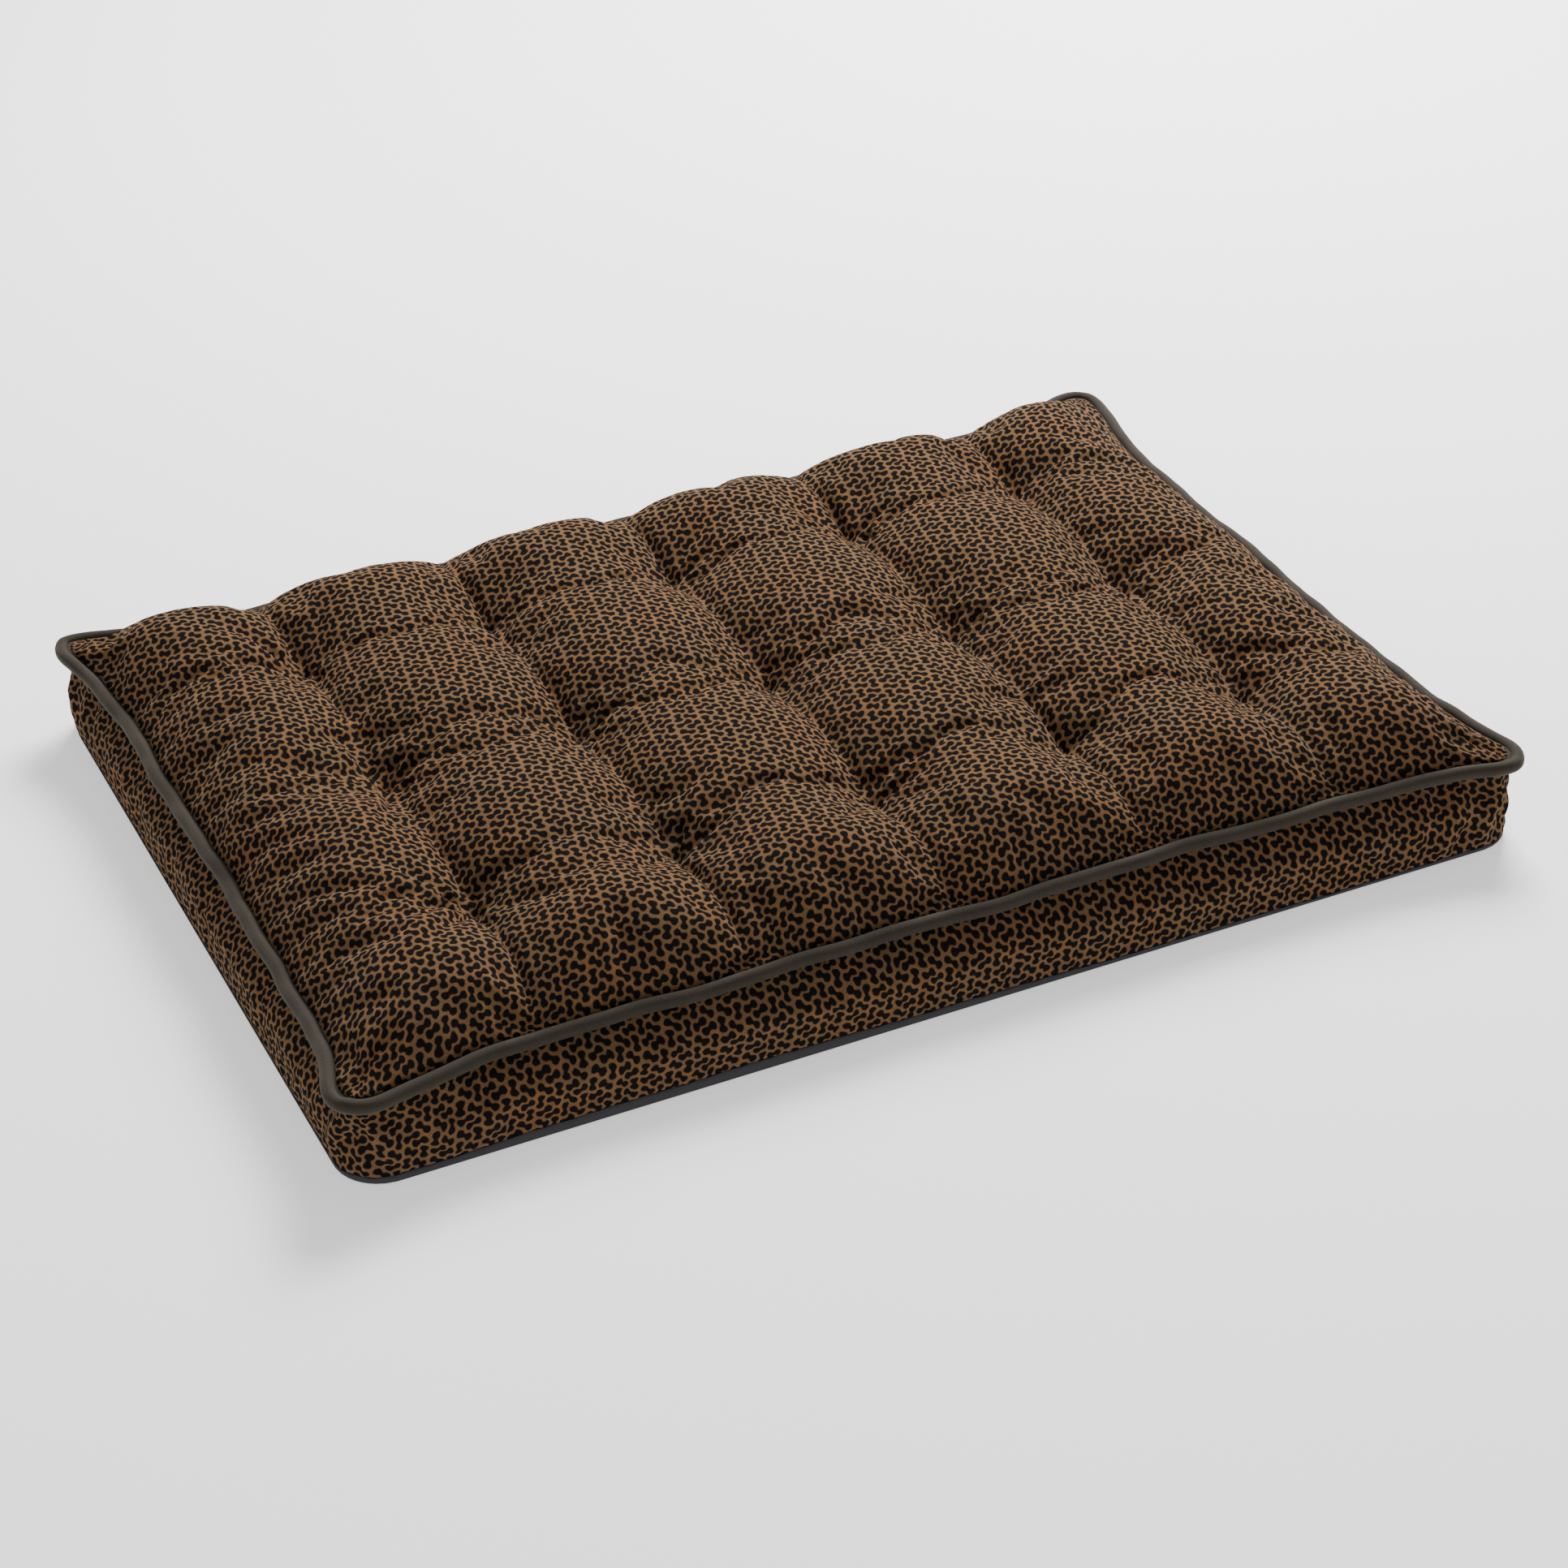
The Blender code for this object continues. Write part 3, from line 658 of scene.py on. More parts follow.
def smooth_step(t):
    t = np.clip(t, 0, 1)
    return t * t * (3 - 2 * t)


def edge_run(low, high, cell):
    """Evenly spaced values from low to high, about a cell apart, without the last."""
    count = max(round((high - low) / cell), 1)
    return low + (high - low) * np.arange(count) / count


def cage_axis(half, lines, cell):
    """Values along one axis of the cage, about a cell apart, that include every tuft line."""
    stops = [-half, *lines, half]
    runs = [edge_run(low, high, cell) for low, high in zip(stops, stops[1:])]
    return np.concatenate([*runs, [half]])


def cage_edge(cell):
    """The cage's outline as arrays of x and y, anticlockwise from the front left corner."""
    long_side = edge_run(-HALF_LENGTH, HALF_LENGTH, cell)
    short_side = edge_run(-HALF_WIDTH, HALF_WIDTH, cell)
    low_x, low_y = np.full_like(short_side, HALF_LENGTH), np.full_like(long_side, HALF_WIDTH)
    return (
        np.concatenate([long_side, low_x, -long_side, -low_x]),
        np.concatenate([-low_y, short_side, low_y, -short_side]),
    )


def along_corners(corners, cell):
    """Points along straight runs between corners, about a cell apart, both ends included."""
    corners = np.asarray(corners, float)
    lengths = np.linalg.norm(np.diff(corners, axis=0), axis=1)
    runs = [
        start + (end - start) * edge_run(0, 1, cell / length)[:, None]
        for start, end, length in zip(corners, corners[1:], lengths)
    ]
    return np.concatenate([*runs, corners[-1:]]).T


def path_length(points):
    steps = np.linalg.norm(np.diff(points, axis=0), axis=-1)
    return np.concatenate([np.zeros_like(steps[:1]), np.cumsum(steps, axis=0)])


def refined(points):
    """Twice as many rows and columns: each new one is a cubic through its four neighbours."""
    for axis in (0, 1):
        grid = np.moveaxis(points, axis, 0)
        wide = np.concatenate([2 * grid[:1] - grid[1:2], grid, 2 * grid[-1:] - grid[-2:-1]])
        between = (9 * (wide[1:-2] + wide[2:-1]) - wide[:-3] - wide[3:]) / 16
        made = np.empty((2 * len(grid) - 1, *grid.shape[1:]))
        made[::2], made[1::2] = grid, between
        points = np.moveaxis(made, 0, axis)
    return points


def grid_normals(points):
    """Unit normals of a grid of points, on the side that its faces point to."""
    normals = np.cross(np.gradient(points, axis=1), np.gradient(points, axis=0))
    return normals / np.maximum(np.linalg.norm(normals, axis=-1, keepdims=True), 1e-9)


# ---------------------------------------------------------------- cloth simulation


def relax(points, pins, cloth):
    """Lets a grid of cloth find its shape: it is a little larger than the points say, is blown
    outwards by its filling, and is held where pins are 1. No point moves further than the limit."""
    rows, columns = points.shape[:2]
    start = points.reshape(-1, 3)
    mesh = build_mesh("cloth_trial", start, grid_faces(rows, columns))
    trial = bpy.data.objects.new("cloth_trial", mesh)
    scene = bpy.context.scene
    scene.collection.objects.link(trial)
    held = trial.vertex_groups.new(name="held")
    tight = trial.vertex_groups.new(name="tight")
    for weight in np.unique(pins[pins > 0]):
        held.add(np.flatnonzero(pins.ravel() == weight).tolist(), float(weight), "REPLACE")
    tightness = 1 - np.round(cloth["share"].ravel() * 8) / 8
    for weight in np.unique(tightness):
        tight.add(np.flatnonzero(tightness == weight).tolist(), float(weight), "REPLACE")
    modifier = trial.modifiers.new("Cloth", "CLOTH")
    modifier.settings.vertex_group_mass = "held"
    modifier.settings.vertex_group_shrink = "tight"
    modifier.settings.shrink_max = 0.0
    modifier.settings.shrink_min = -cloth["growth"]
    modifier.settings.quality = 5
    modifier.settings.bending_stiffness = STIFFNESS
    modifier.settings.use_pressure = True
    modifier.settings.uniform_pressure_force = cloth["pressure"]
    modifier.settings.effector_weights.gravity = 0
    modifier.collision_settings.use_collision = False
    modifier.point_cache.frame_start, modifier.point_cache.frame_end = 1, cloth["frames"]
    for step in range(1, cloth["frames"] + 1):
        scene.frame_set(step)
    relaxed = trial.evaluated_get(bpy.context.evaluated_depsgraph_get()).data
    found = np.empty(start.size, np.float32)
    relaxed.vertices.foreach_get("co", found)
    scene.frame_set(1)
    bpy.data.objects.remove(trial)
    moved = found.reshape(-1, 3) - start
    length = np.maximum(np.linalg.norm(moved, axis=1, keepdims=True), 1e-9)
    limit = cloth["limit"]
    return (start + moved / length * limit * np.tanh(length / limit)).reshape(points.shape)


# ---------------------------------------------------------------- pillow top


def valley(value, lines, pitch, power):
    """1 on a line of tufts, 0 half way to the next; a higher power makes it narrower."""
    share = np.minimum(to_line(value, lines) / (pitch / 2), 1)
    return (1 - np.sin(np.pi / 2 * share)) ** power


def top_height(x, y, shape):
    """Height of the pillow top over the seam: a rolled edge, sunk along the lines of tufts and
    most where two lines cross."""
    def rise(value, half):
        return 1 - (1 - np.minimum((half - np.abs(value)) / shape.roll, 1)) ** shape.roll_power

    column = valley(x, COLUMNS, COLUMN_PITCH, 1.4)
    row = valley(y, ROWS, ROW_PITCH, 1.0)
    sunk = shape.column_valley * column + shape.row_valley * row + shape.tuft_valley * column * row
    edge = rise(x, HALF_LENGTH) * rise(y, HALF_WIDTH)
    return edge * shape.crown - edge**0.72 * sunk


def top_points(x, y, shape):
    """Outer face of the pillow top, from the panel's rim on the piping's allowance."""
    inset = PIPING_RADIUS + shape.allowance_shown
    z = SCRIM_TOP + 4.2 * MM + seam_lift(x, y) + top_height(x, y, shape)
    return stacked(*sewn(x, y, 1, inset), z)


def tuft_creases(x, y, shape):
    """Depth of the small creases that run out from each tuft.

    Round a tuft the depth is a sum of two cosines of the angle, out of step from tuft to tuft; it
    starts past the dimple and fades with distance, further off beside the left edge.
    """
    depth = np.zeros_like(x)
    for i, column in enumerate(COLUMNS):
        for j, row in enumerate(ROWS):
            dx, dy = x - column, y - row
            away, angle = np.hypot(dx, dy), np.arctan2(dy, dx)
            seed = 1.7 * i + 2.9 * j
            left = (i == 0) * (dx < 0)
            reach = shape.crease_reach * (1 + 1.3 * left)
            folds = 0.6 * np.cos(7 * angle + seed) + 0.4 * np.cos(12 * angle - 2 * seed)
            fade = np.exp(-((away / reach) ** 2)) * smooth_step((away - 4 * MM) / (14 * MM))
            depth += (1 + 0.9 * left) * fade * np.minimum(folds, 0.35)
    return shape.crease_depth * depth


def top_surface(shape):
    """The relaxed top cloth as a grid of points, the cage points under it, and its flat size."""
    xs = cage_axis(HALF_LENGTH, COLUMNS, shape.cell)
    ys = cage_axis(HALF_WIDTH, ROWS, shape.cell)
    x, y = np.meshgrid(xs, ys)
    start = top_points(x, y, shape)
    pins = np.zeros_like(x)
    to_column, to_row = to_line(x, COLUMNS), to_line(y, ROWS)
    pins[to_column < 1 * MM] = shape.crease_hold
    pins[np.hypot(to_column, to_row) < 1.3 * shape.cell] = 1
    pins[[0, -1], :] = 1
    pins[:, [0, -1]] = 1
    near = np.minimum(*from_edge(x, y))
    cloth = {
        "growth": shape.growth, "pressure": shape.pressure, "frames": TOP_FRAMES,
        "limit": shape.move_limit, "share": 0.3 + 0.7 * smooth_step(near / 0.05),
    }
    cut = cut_size(start, shape.growth)
    points = refined(relax(start, pins, cloth))
    cage = refined(stacked(x, y, 0.0))
    x, y = cage[..., 0], cage[..., 1]
    inside = smooth_step(np.minimum(*from_edge(x, y)) / (30 * MM))
    creases = tuft_creases(x, y, shape) * inside
    slack = shape.slack * inside * (waver(x + 0.4 * y, 1.3) * waver(y - 0.3 * x, 4.1))
    return points + grid_normals(points) * (creases + slack)[..., None], cage, cut


def cut_cloth(points):
    """Each grid point's place on the flat cloth: the mean length of the rows, and of the columns,
    up to it, from the middle."""
    u = path_length(np.swapaxes(points, 0, 1)).mean(axis=1)
    v = path_length(points).mean(axis=1)
    u, v = np.meshgrid(u - u[-1] / 2, v - v[-1] / 2)
    return stacked(u, v).reshape(-1, 2)


def cut_size(start, growth):
    """Width and length that a grid of cloth is cut to: its frame, plus what it is larger by.

    It is taken before the cloth relaxes, so that the area check compares the result with the cut.
    """
    width, length = np.ptp(cut_cloth(start), axis=0) * (1 + growth)
    return float(width), float(length)


def grid_piece(name, points, look, node, thickness):
    """A sheet from a grid of points."""
    shape = points, grid_faces(*points.shape[:2])
    return add_piece(name, shape, look, node, cut_cloth(points), thickness=thickness)


def padding_between(upper, bottom):
    """Points and quads of a closed pad: a grid above, its plan at the bottom's height, a band."""
    rows, columns = upper.shape[:2]
    lower = upper.copy()
    lower[..., 2] = bottom
    count = rows * columns
    index = np.arange(count).reshape(rows, columns)
    rim = np.concatenate([index[0, :-1], index[:-1, -1], index[-1, :0:-1], index[:0:-1, 0]])
    after = np.roll(rim, -1)
    band = stacked(rim + count, after + count, after, rim)
    top = grid_faces(rows, columns)
    return np.concatenate([upper.reshape(-1, 3), lower.reshape(-1, 3)]), np.concatenate(
        [top, top[:, ::-1] + count, band]
    )


# ---------------------------------------------------------------- stitches


def tuft_stitch(place, scrim, shape):
    """A tuft's thread: two loops that cross on the cloth, a twisted leg and a knot.

    A loop is half an ellipse whose ends dive into the cloth; the leg is two plies wound on each
    other; the knot is a small closed coil under the scrim.
    """
    radius = shape.thread / 2
    parts = []
    t = np.linspace(0, np.pi, 15)
    for turn in (0.5, 2.1):
        along, up = np.cos(t) * shape.stitch / 2, np.sin(t) * 1.1 * MM
        loop = stacked(along * math.cos(turn), along * math.sin(turn), up)
        loop[:, 2] += turn * 0.35 * MM
        loop = np.concatenate([loop[:1] * [0.5, 0.5, 1] - [0, 0, 1.6 * MM], loop,
                               loop[-1:] * [0.5, 0.5, 1] - [0, 0, 1.6 * MM]])
        parts.append(lofted(tube_rings(place + loop, radius, 8)))
    depth = np.linspace(-1.4 * MM, scrim - place[2] - 0.6 * MM, 60)
    for start in (0, np.pi):
        wound = start + depth / (1.3 * MM)
        leg = stacked(radius * np.cos(wound), radius * np.sin(wound), depth)
        parts.append(lofted(tube_rings(place + leg, radius * 0.95, 7)))
    wound = np.linspace(0, 2 * np.pi, 28, endpoint=False)
    knot = stacked(
        (1.25 + 0.45 * np.cos(3 * wound)) * np.cos(2 * wound) * MM,
        (1.25 + 0.45 * np.cos(3 * wound)) * np.sin(2 * wound) * MM,
        0.55 * np.sin(3 * wound) * MM,
    )
    foot = np.array([place[0], place[1], scrim - 2.0 * MM])
    parts.append(lofted(tube_rings(foot + knot, radius * 0.95, 8, ring=True), "joined"))
    points, faces = merged(parts)
    return points, faces, stacked(points[:, 0] + points[:, 2], points[:, 1])


# ---------------------------------------------------------------- piping


def piping_line(cell):
    """The piping's centre line as a closed loop: the sewn outline at its wavering height."""
    x, y = cage_edge(cell)
    return stacked(*sewn(x, y, 1), PIPING_HEIGHT + seam_lift(x, y))


def swept(line, section):
    """A section of (inwards, up) points carried round a closed line, kept upright."""
    ahead = np.roll(line, -1, 0) - np.roll(line, 1, 0)
    inwards = stacked(-ahead[:, 1], ahead[:, 0])
    inwards /= np.linalg.norm(inwards, axis=1, keepdims=True)
    section = np.asarray(section, float)
    plan = line[:, None, :2] + inwards[:, None] * section[None, :, :1]
    height = line[:, None, 2] + section[None, :, 1]
    return np.concatenate([plan, height[..., None]], axis=-1)


def piping_section(look):
    """The bias strip's outer face: round the cord, then inwards above and below as allowance."""
    half = 1.15 * MM
    start = math.asin(half / PIPING_RADIUS)
    angle = np.linspace(start, 2 * np.pi - start, 30)
    arc = stacked(np.cos(angle), np.sin(angle)) * PIPING_RADIUS
    flange = look.allowance
    upper = stacked(np.linspace(flange, arc[0, 0] + 0.4 * MM, 5), half)
    return np.concatenate([upper, arc, upper[::-1] * [1, -1]])


# ---------------------------------------------------------------- walls and base


def wall_folds(x, y, share, look):
    """How far the wall's soft folds stand out: upright waves, and slanted pulls under the ears."""
    along = x + 1.31 * y
    upright = waver(along * 1.9, 2.0) * waver(along * 0.7 + 0.2 * share, 6.0)
    corner = np.hypot(*from_edge(x, y))
    pulls = np.sin(2 * np.pi * (corner / 0.034 + 0.9 * share)) * np.exp(-((corner / 0.12) ** 2))
    return np.sin(np.pi * share) ** 0.8 * (look.fold_depth * upright + look.pull_depth * pulls)


def wall_strip(corners, look):
    """The side band along the cage's edge, from the base seam to the piping, and its flat size."""
    x, y = along_corners(corners, look.wall_cell)
    rows = max(round(WALL_RUN / look.wall_cell), 2)
    x, y, share = np.broadcast_arrays(x[None], y[None], np.linspace(0, 1, rows + 1)[:, None])
    foot, top = base_seam(x, y) + SEAM_GAP, WALL_TOP + seam_lift(x, y)
    start = wall(x, y, foot + (top - foot) * share)
    pins = np.zeros(x.shape)
    pins[[0, -1], :] = 1
    pins[:, [0, -1]] = 1
    cloth = {
        "growth": look.wall_growth, "pressure": WALL_PRESSURE, "frames": WALL_FRAMES,
        "limit": look.wall_limit, "share": np.ones(x.shape),
    }
    cut = cut_size(start, look.wall_growth)
    points = refined(relax(start, pins, cloth))
    cage = refined(stacked(x, y, share))
    folds = wall_folds(*np.moveaxis(cage, -1, 0), look)
    return points + grid_normals(points) * folds[..., None], cut


def zip_edge_wall(side, look):
    """A back panel at the zip: flat beside the tape, with a turned edge that wavers a little."""
    x = np.linspace(BACK_SEAM, -BACK_SEAM, 400)
    back = np.full_like(x, HALF_WIDTH)
    closed = smooth_step((np.abs(x) - ZIP_END) / (4 * MM))
    opening = (UPPER_EDGE - LOWER_EDGE) / 2 + 0.25 * MM * waver(x * 2, 6.0 + side)
    edge = ZIP_HEIGHT + side * (opening + (0.15 * MM - opening) * closed)
    if side < 0:
        share = np.linspace(0, 1, 7)[:, None]
        foot = base_seam(x, back) + SEAM_GAP
        z = foot + (edge - foot) * share
    else:
        share = np.linspace(0, 1, 20)[:, None]
        z = edge + (WALL_TOP + seam_lift(x, back) - edge) * share
    x, z, share = np.broadcast_arrays(x[None], z, share)
    points = wall(x, HALF_WIDTH + 0 * x, z)
    free = np.sin(np.pi * np.clip(share, 0, 1)) * (1 if side > 0 else 0.25)
    folds = look.fold_depth * free * (waver(x * 1.7, 2.0 + side) * waver(x * 0.8 + z, 4.0))
    points[..., 1] += 0.6 * folds
    return points


def base_shape(look):
    """The base cloth: rings from the middle of the floor out to its edge, then up to the seam."""
    x, y = cage_edge(look.base_cell)
    inset = BASE_INSET - BASE_CLOTH
    shares = np.array([0.02, 0.15, 0.3, 0.45, 0.6, 0.72, 0.82, 0.9, 0.95, 0.975])
    rings = []
    for share in shares:
        plan = sewn(x * share, y * share, 0, inset)
        sag = 0.35 * MM * (1 + waver(3 * x * share + 2 * y * share, 9.0)) * (share < 0.96)
        rings.append(stacked(*plan, 0.1 * MM + sag))
    for angle in np.linspace(0, np.pi / 2, 6):
        plan = sewn(x, y, 0, inset + BASE_BEND * (1 - math.sin(angle)))
        rings.append(stacked(*plan, BASE_BEND * (1 - math.cos(angle))))
    for share in (0.5, 1.0):
        height = BASE_BEND + (base_seam(x, y) - BASE_BEND) * share
        rings.append(stacked(*sewn(x, y, 0, inset), height))
    return np.array(rings)


# ---------------------------------------------------------------- inner cushion


def pillow_rings(inset, low, high):
    """A soft slab as rings: from the middle of its underside, round a rolled edge, to the top."""
    x, y = cage_edge(INNER_CELL)
    rings = []
    for share in (0.03, 0.3, 0.6, 0.85):
        rings.append(stacked(*sewn(x * share, y * share, 1, inset), low))
    for angle in np.linspace(-np.pi / 2, np.pi / 2, 9):
        plan = sewn(x, y, 1, inset + INNER_ROLL * (1 - math.cos(angle)))
        z = (low + high) / 2 + ((high - low) / 2) * math.sin(angle)
        rings.append(stacked(*plan, z))
    for share in (0.85, 0.6, 0.3, 0.03):
        swell = 0.6 * MM * waver(2 * x * share + y * share, 3.0) * (share < 0.8)
        rings.append(stacked(*sewn(x * share, y * share, 1, inset), high + swell - 0.6 * MM))
    return np.array(rings)


# ---------------------------------------------------------------- zip


def coil_tooth(side):
    """One loop of the coil: a bead across the opening, fat where it hooks over its neighbour."""
    reach = np.linspace(-0.5 * MM, 3.0 * MM, 7)
    width = np.array([0.30, 0.52, 0.56, 0.46, 0.44, 0.44, 0.30]) * MM
    thick = np.array([0.36, 0.62, 0.68, 0.62, 0.60, 0.60, 0.40]) * MM
    angle = 2 * np.pi * np.arange(8) / 8
    rings = stacked(
        width[:, None] * np.cos(angle),
        thick[:, None] * np.sin(angle),
        side * reach[:, None],
    )
    return lofted(rings[:, ::-1] if side < 0 else rings)


def outline(half_x, half_z, corner, count, power=2.0):
    """A closed outline in X and Z: a rectangle with rounded corners, anticlockwise seen from -Y."""
    angle = 2 * np.pi * (np.arange(count) + 0.5) / count
    c, s = np.cos(angle), np.sin(angle)
    x = np.sign(c) * (half_x - corner) + corner * np.sign(c) * np.abs(c) ** (2 / power)
    z = np.sign(s) * (half_z - corner) + corner * np.sign(s) * np.abs(s) ** (2 / power)
    return stacked(x, z)


def slab(shape, near, far, rounding):
    """An outline in X and Z made solid between two values of Y, with its edges rounded."""
    centre, half = shape.mean(0), np.ptp(shape, axis=0) / 2
    rings = []
    for y, inset in (
        (near, 1.0), (near, rounding), (near + rounding / 3, rounding / 3), (near + rounding, 0),
        (far - rounding, 0), (far - rounding / 3, rounding / 3), (far, rounding), (far, 1.0),
    ):
        scale = 0.25 if inset == 1.0 else 1 - inset / half
        flat = centre + (shape - centre) * scale
        rings.append(stacked(flat[:, 0], y, flat[:, 1]))
    return lofted(np.array(rings)[:, ::-1])


def holed_plate(outer, inner, near, far, rounding):
    """A plate between an outer and an inner outline, with its edges rounded."""
    rings = []
    for loop, turn in ((outer, 1), (inner, -1)):
        ys = (near, near + rounding / 3, near + rounding, far - rounding, far - rounding / 3, far)
        ins = (rounding, rounding / 3, 0, 0, rounding / 3, rounding)
        for y, inset in zip(ys[::turn], ins[::turn]):
            centre = loop.mean(0)
            flat = centre + (loop - centre) * (1 - turn * inset / (np.ptp(loop, axis=0) / 2))
            rings.append(stacked(flat[:, 0], y, flat[:, 1]))
    return lofted(np.array(rings)[:, ::-1], "joined")


# ---------------------------------------------------------------- settings


def metres(name, description, default):
    return FloatProperty(
        name=name, description=description, default=default, unit="LENGTH", subtype="DISTANCE",
        precision=4,
    )


def ratio(name, description, default):
    return FloatProperty(
        name=name, description=description, default=default, min=0, subtype="FACTOR"
    )


def plain(name, description, default, unit="NONE"):
    return FloatProperty(name=name, description=description, default=default, unit=unit)


def degrees(name, description, default):
    return FloatProperty(
        name=name, description=description, default=math.radians(default), subtype="ANGLE"
    )


def paint(name, description, default):
    return FloatVectorProperty(
        name=name, description=description, default=default, subtype="COLOR", size=3, min=0, max=1
    )


class BedTopSettings(bpy.types.PropertyGroup):
    cell: metres("Cell", "Spacing of the cloth's grid before it is refined", 0.0072)
    crown: metres("Crown", "Height of a puff over the seam before it is filled", 0.0420)
    roll: metres("Roll", "Width of the rolled edge", 0.095)
    roll_power: plain("Roll power", "How steeply the rolled edge starts", 2.5)
    column_valley: metres("Column valley", "Depth of the creases across the bed", 0.0170)
    row_valley: metres("Row valley", "Depth of the creases along the bed", 0.0048)
    tuft_valley: metres("Tuft valley", "What a tuft adds where creases cross", 0.0125)
    growth: ratio("Growth", "How much larger the cloth is than its frame", 0.036)
    pressure: plain("Pressure", "Push of the filling", 4.0)
    crease_hold: ratio("Crease hold", "How firmly the column creases are held down", 0.60)
    move_limit: metres("Move limit", "Furthest that a point moves while it relaxes", 0.011)
    crease_reach: metres("Crease reach", "How far small creases run from a tuft", 0.042)
    crease_depth: metres("Crease depth", "Depth of the small creases", 0.0022)
    slack: metres("Slack", "Height of slow waves in loose cloth", 0.0012)
    allowance_shown: metres("Allowance shown", "Piping allowance that shows at the rim", 0.0022)
    batting_gap: metres("Batting gap", "From the cloth's outer face to the batting", 0.0044)


class BedStitchSettings(bpy.types.PropertyGroup):
    thread: metres("Thread", "Thickness of the tufting thread", 0.0011)
    stitch: metres("Stitch", "Length of a stitch on the cloth", 0.0052)
    sink: metres("Sink", "How far a stitch pulls into the cloth", 0.0002)


class BedSewnSettings(bpy.types.PropertyGroup):
    allowance: metres("Allowance", "Width of the piping's seam allowance", 0.010)
    piping_cell: metres("Piping cell", "Spacing along the piping", 0.005)
    wall_cell: metres("Wall cell", "Spacing of the wall cloth's grid", 0.0052)
    base_cell: metres("Base cell", "Spacing along the edge of the base", 0.008)
    wall_growth: ratio("Wall growth", "How much larger the wall cloth is than its frame", 0.014)
    wall_limit: metres("Wall limit", "Furthest that a point of the wall moves", 0.0032)
    fold_depth: metres("Fold depth", "Depth of the wall's soft folds", 0.0022)
    pull_depth: metres("Pull depth", "Depth of the slanted pulls under the ears", 0.0024)


class BedClothSettings(bpy.types.PropertyGroup):
    motif_pitch: metres("Motif pitch", "Spacing of the print's lattice", 0.0072)
    motif_turn: degrees("Motif turn", "Angle of the print's lattice to the cloth", 20)
    lobe_place: ratio("Lobe place", "A lobe's middle from the dumbbell's, in pitches", 0.44)
    lobe_squeeze: plain("Lobe squeeze", "How much a lobe is flattened along the dumbbell", 1.25)
    lobe_radius: metres("Lobe radius", "Half the width of a lobe", 0.0028)
    neck: metres("Neck", "Half the width of the bar", 0.0013)
    print_drift: metres("Print drift", "How far the print wanders", 0.0058)
    print_fray: metres("Print fray", "How far pile frays the print's edges", 0.0011)
    ground: paint("Ground", "Printed tan", (0.188, 0.098, 0.045))
    # Painted highlight: the tan as it looks where the pile leans to the light.
    ground_painted_highlight: paint("Warm ground", "Tan where pile leans to the light", (0.262, 0.122, 0.050))
    # Painted shade: the tan as it looks where the pile leans away from the light.
    ground_painted_shade: paint("Olive ground", "Tan where the pile leans away", (0.168, 0.112, 0.058))
    # Painted shade between the tufts of pile.
    ground_pile_shade: paint("Deep ground", "Tan between tufts of pile", (0.058, 0.032, 0.016))
    motif: paint("Motif", "Printed black", (0.0072, 0.0064, 0.0062))
    # Painted highlight where the black pile catches the light.
    motif_pile_highlight: paint("Light motif", "Black where pile catches the light", (0.015, 0.013, 0.012))
    sheen_tint: paint("Ground sheen tint", "Colour of the tan's sheen", (0.62, 0.42, 0.25))
    motif_tint: paint("Motif sheen tint", "Colour of the black's sheen", (0.50, 0.47, 0.46))
    ground_sheen: ratio("Ground sheen", "Strength of the tan's sheen", 0.34)
    motif_sheen: ratio("Motif sheen", "Strength of the black's sheen", 0.015)
    # Painted shade and painted light of the piping's pile.
    piping_shaded_pile: paint("Dark piping", "Piping velvet in its hollows", (0.023, 0.018, 0.012))
    piping_lit_pile: paint("Light piping", "Piping velvet on its pile", (0.044, 0.034, 0.023))
    piping_tint: paint("Piping sheen tint", "Colour of the piping's sheen", (0.50, 0.47, 0.38))
    # Base shade is the darker tone of slubs, and painted shade in the weave's hollows.
    base_thread: paint("Base thread", "Base cloth", (0.016, 0.0155, 0.020))
    base_shade: paint("Base shade", "Base cloth in its hollows", (0.007, 0.007, 0.010))


class BedStageSettings(bpy.types.PropertyGroup):
    azimuth: degrees("Azimuth", "Camera's turn round the bed, from its front", -24.65)
    elevation: degrees("Elevation", "Camera's height as an angle", 33.10)
    roll: degrees("Roll", "Camera's tilt", -1.34)
    distance: metres("Distance", "From the camera to its target", 2.773)
    target: FloatVectorProperty(
        name="Target", description="Point that the camera looks at", default=(0.0044, -0.0142, 0.0),
        subtype="XYZ", unit="LENGTH",
    )
    lens: plain("Lens", "Focal length on a 36 mm sensor", 84.06, "CAMERA")
    key: plain("Key", "Power of the main light", 205, "POWER")
    fill: plain("Fill", "Power of the fill light", 9, "POWER")
    sky: ratio("Sky", "Strength of the even light", 0.46)


SETTINGS = {
    "bed_top": BedTopSettings,
    "bed_stitch": BedStitchSettings,
    "bed_sewn": BedSewnSettings,
    "bed_cloth": BedClothSettings,
    "bed_stage": BedStageSettings,
}


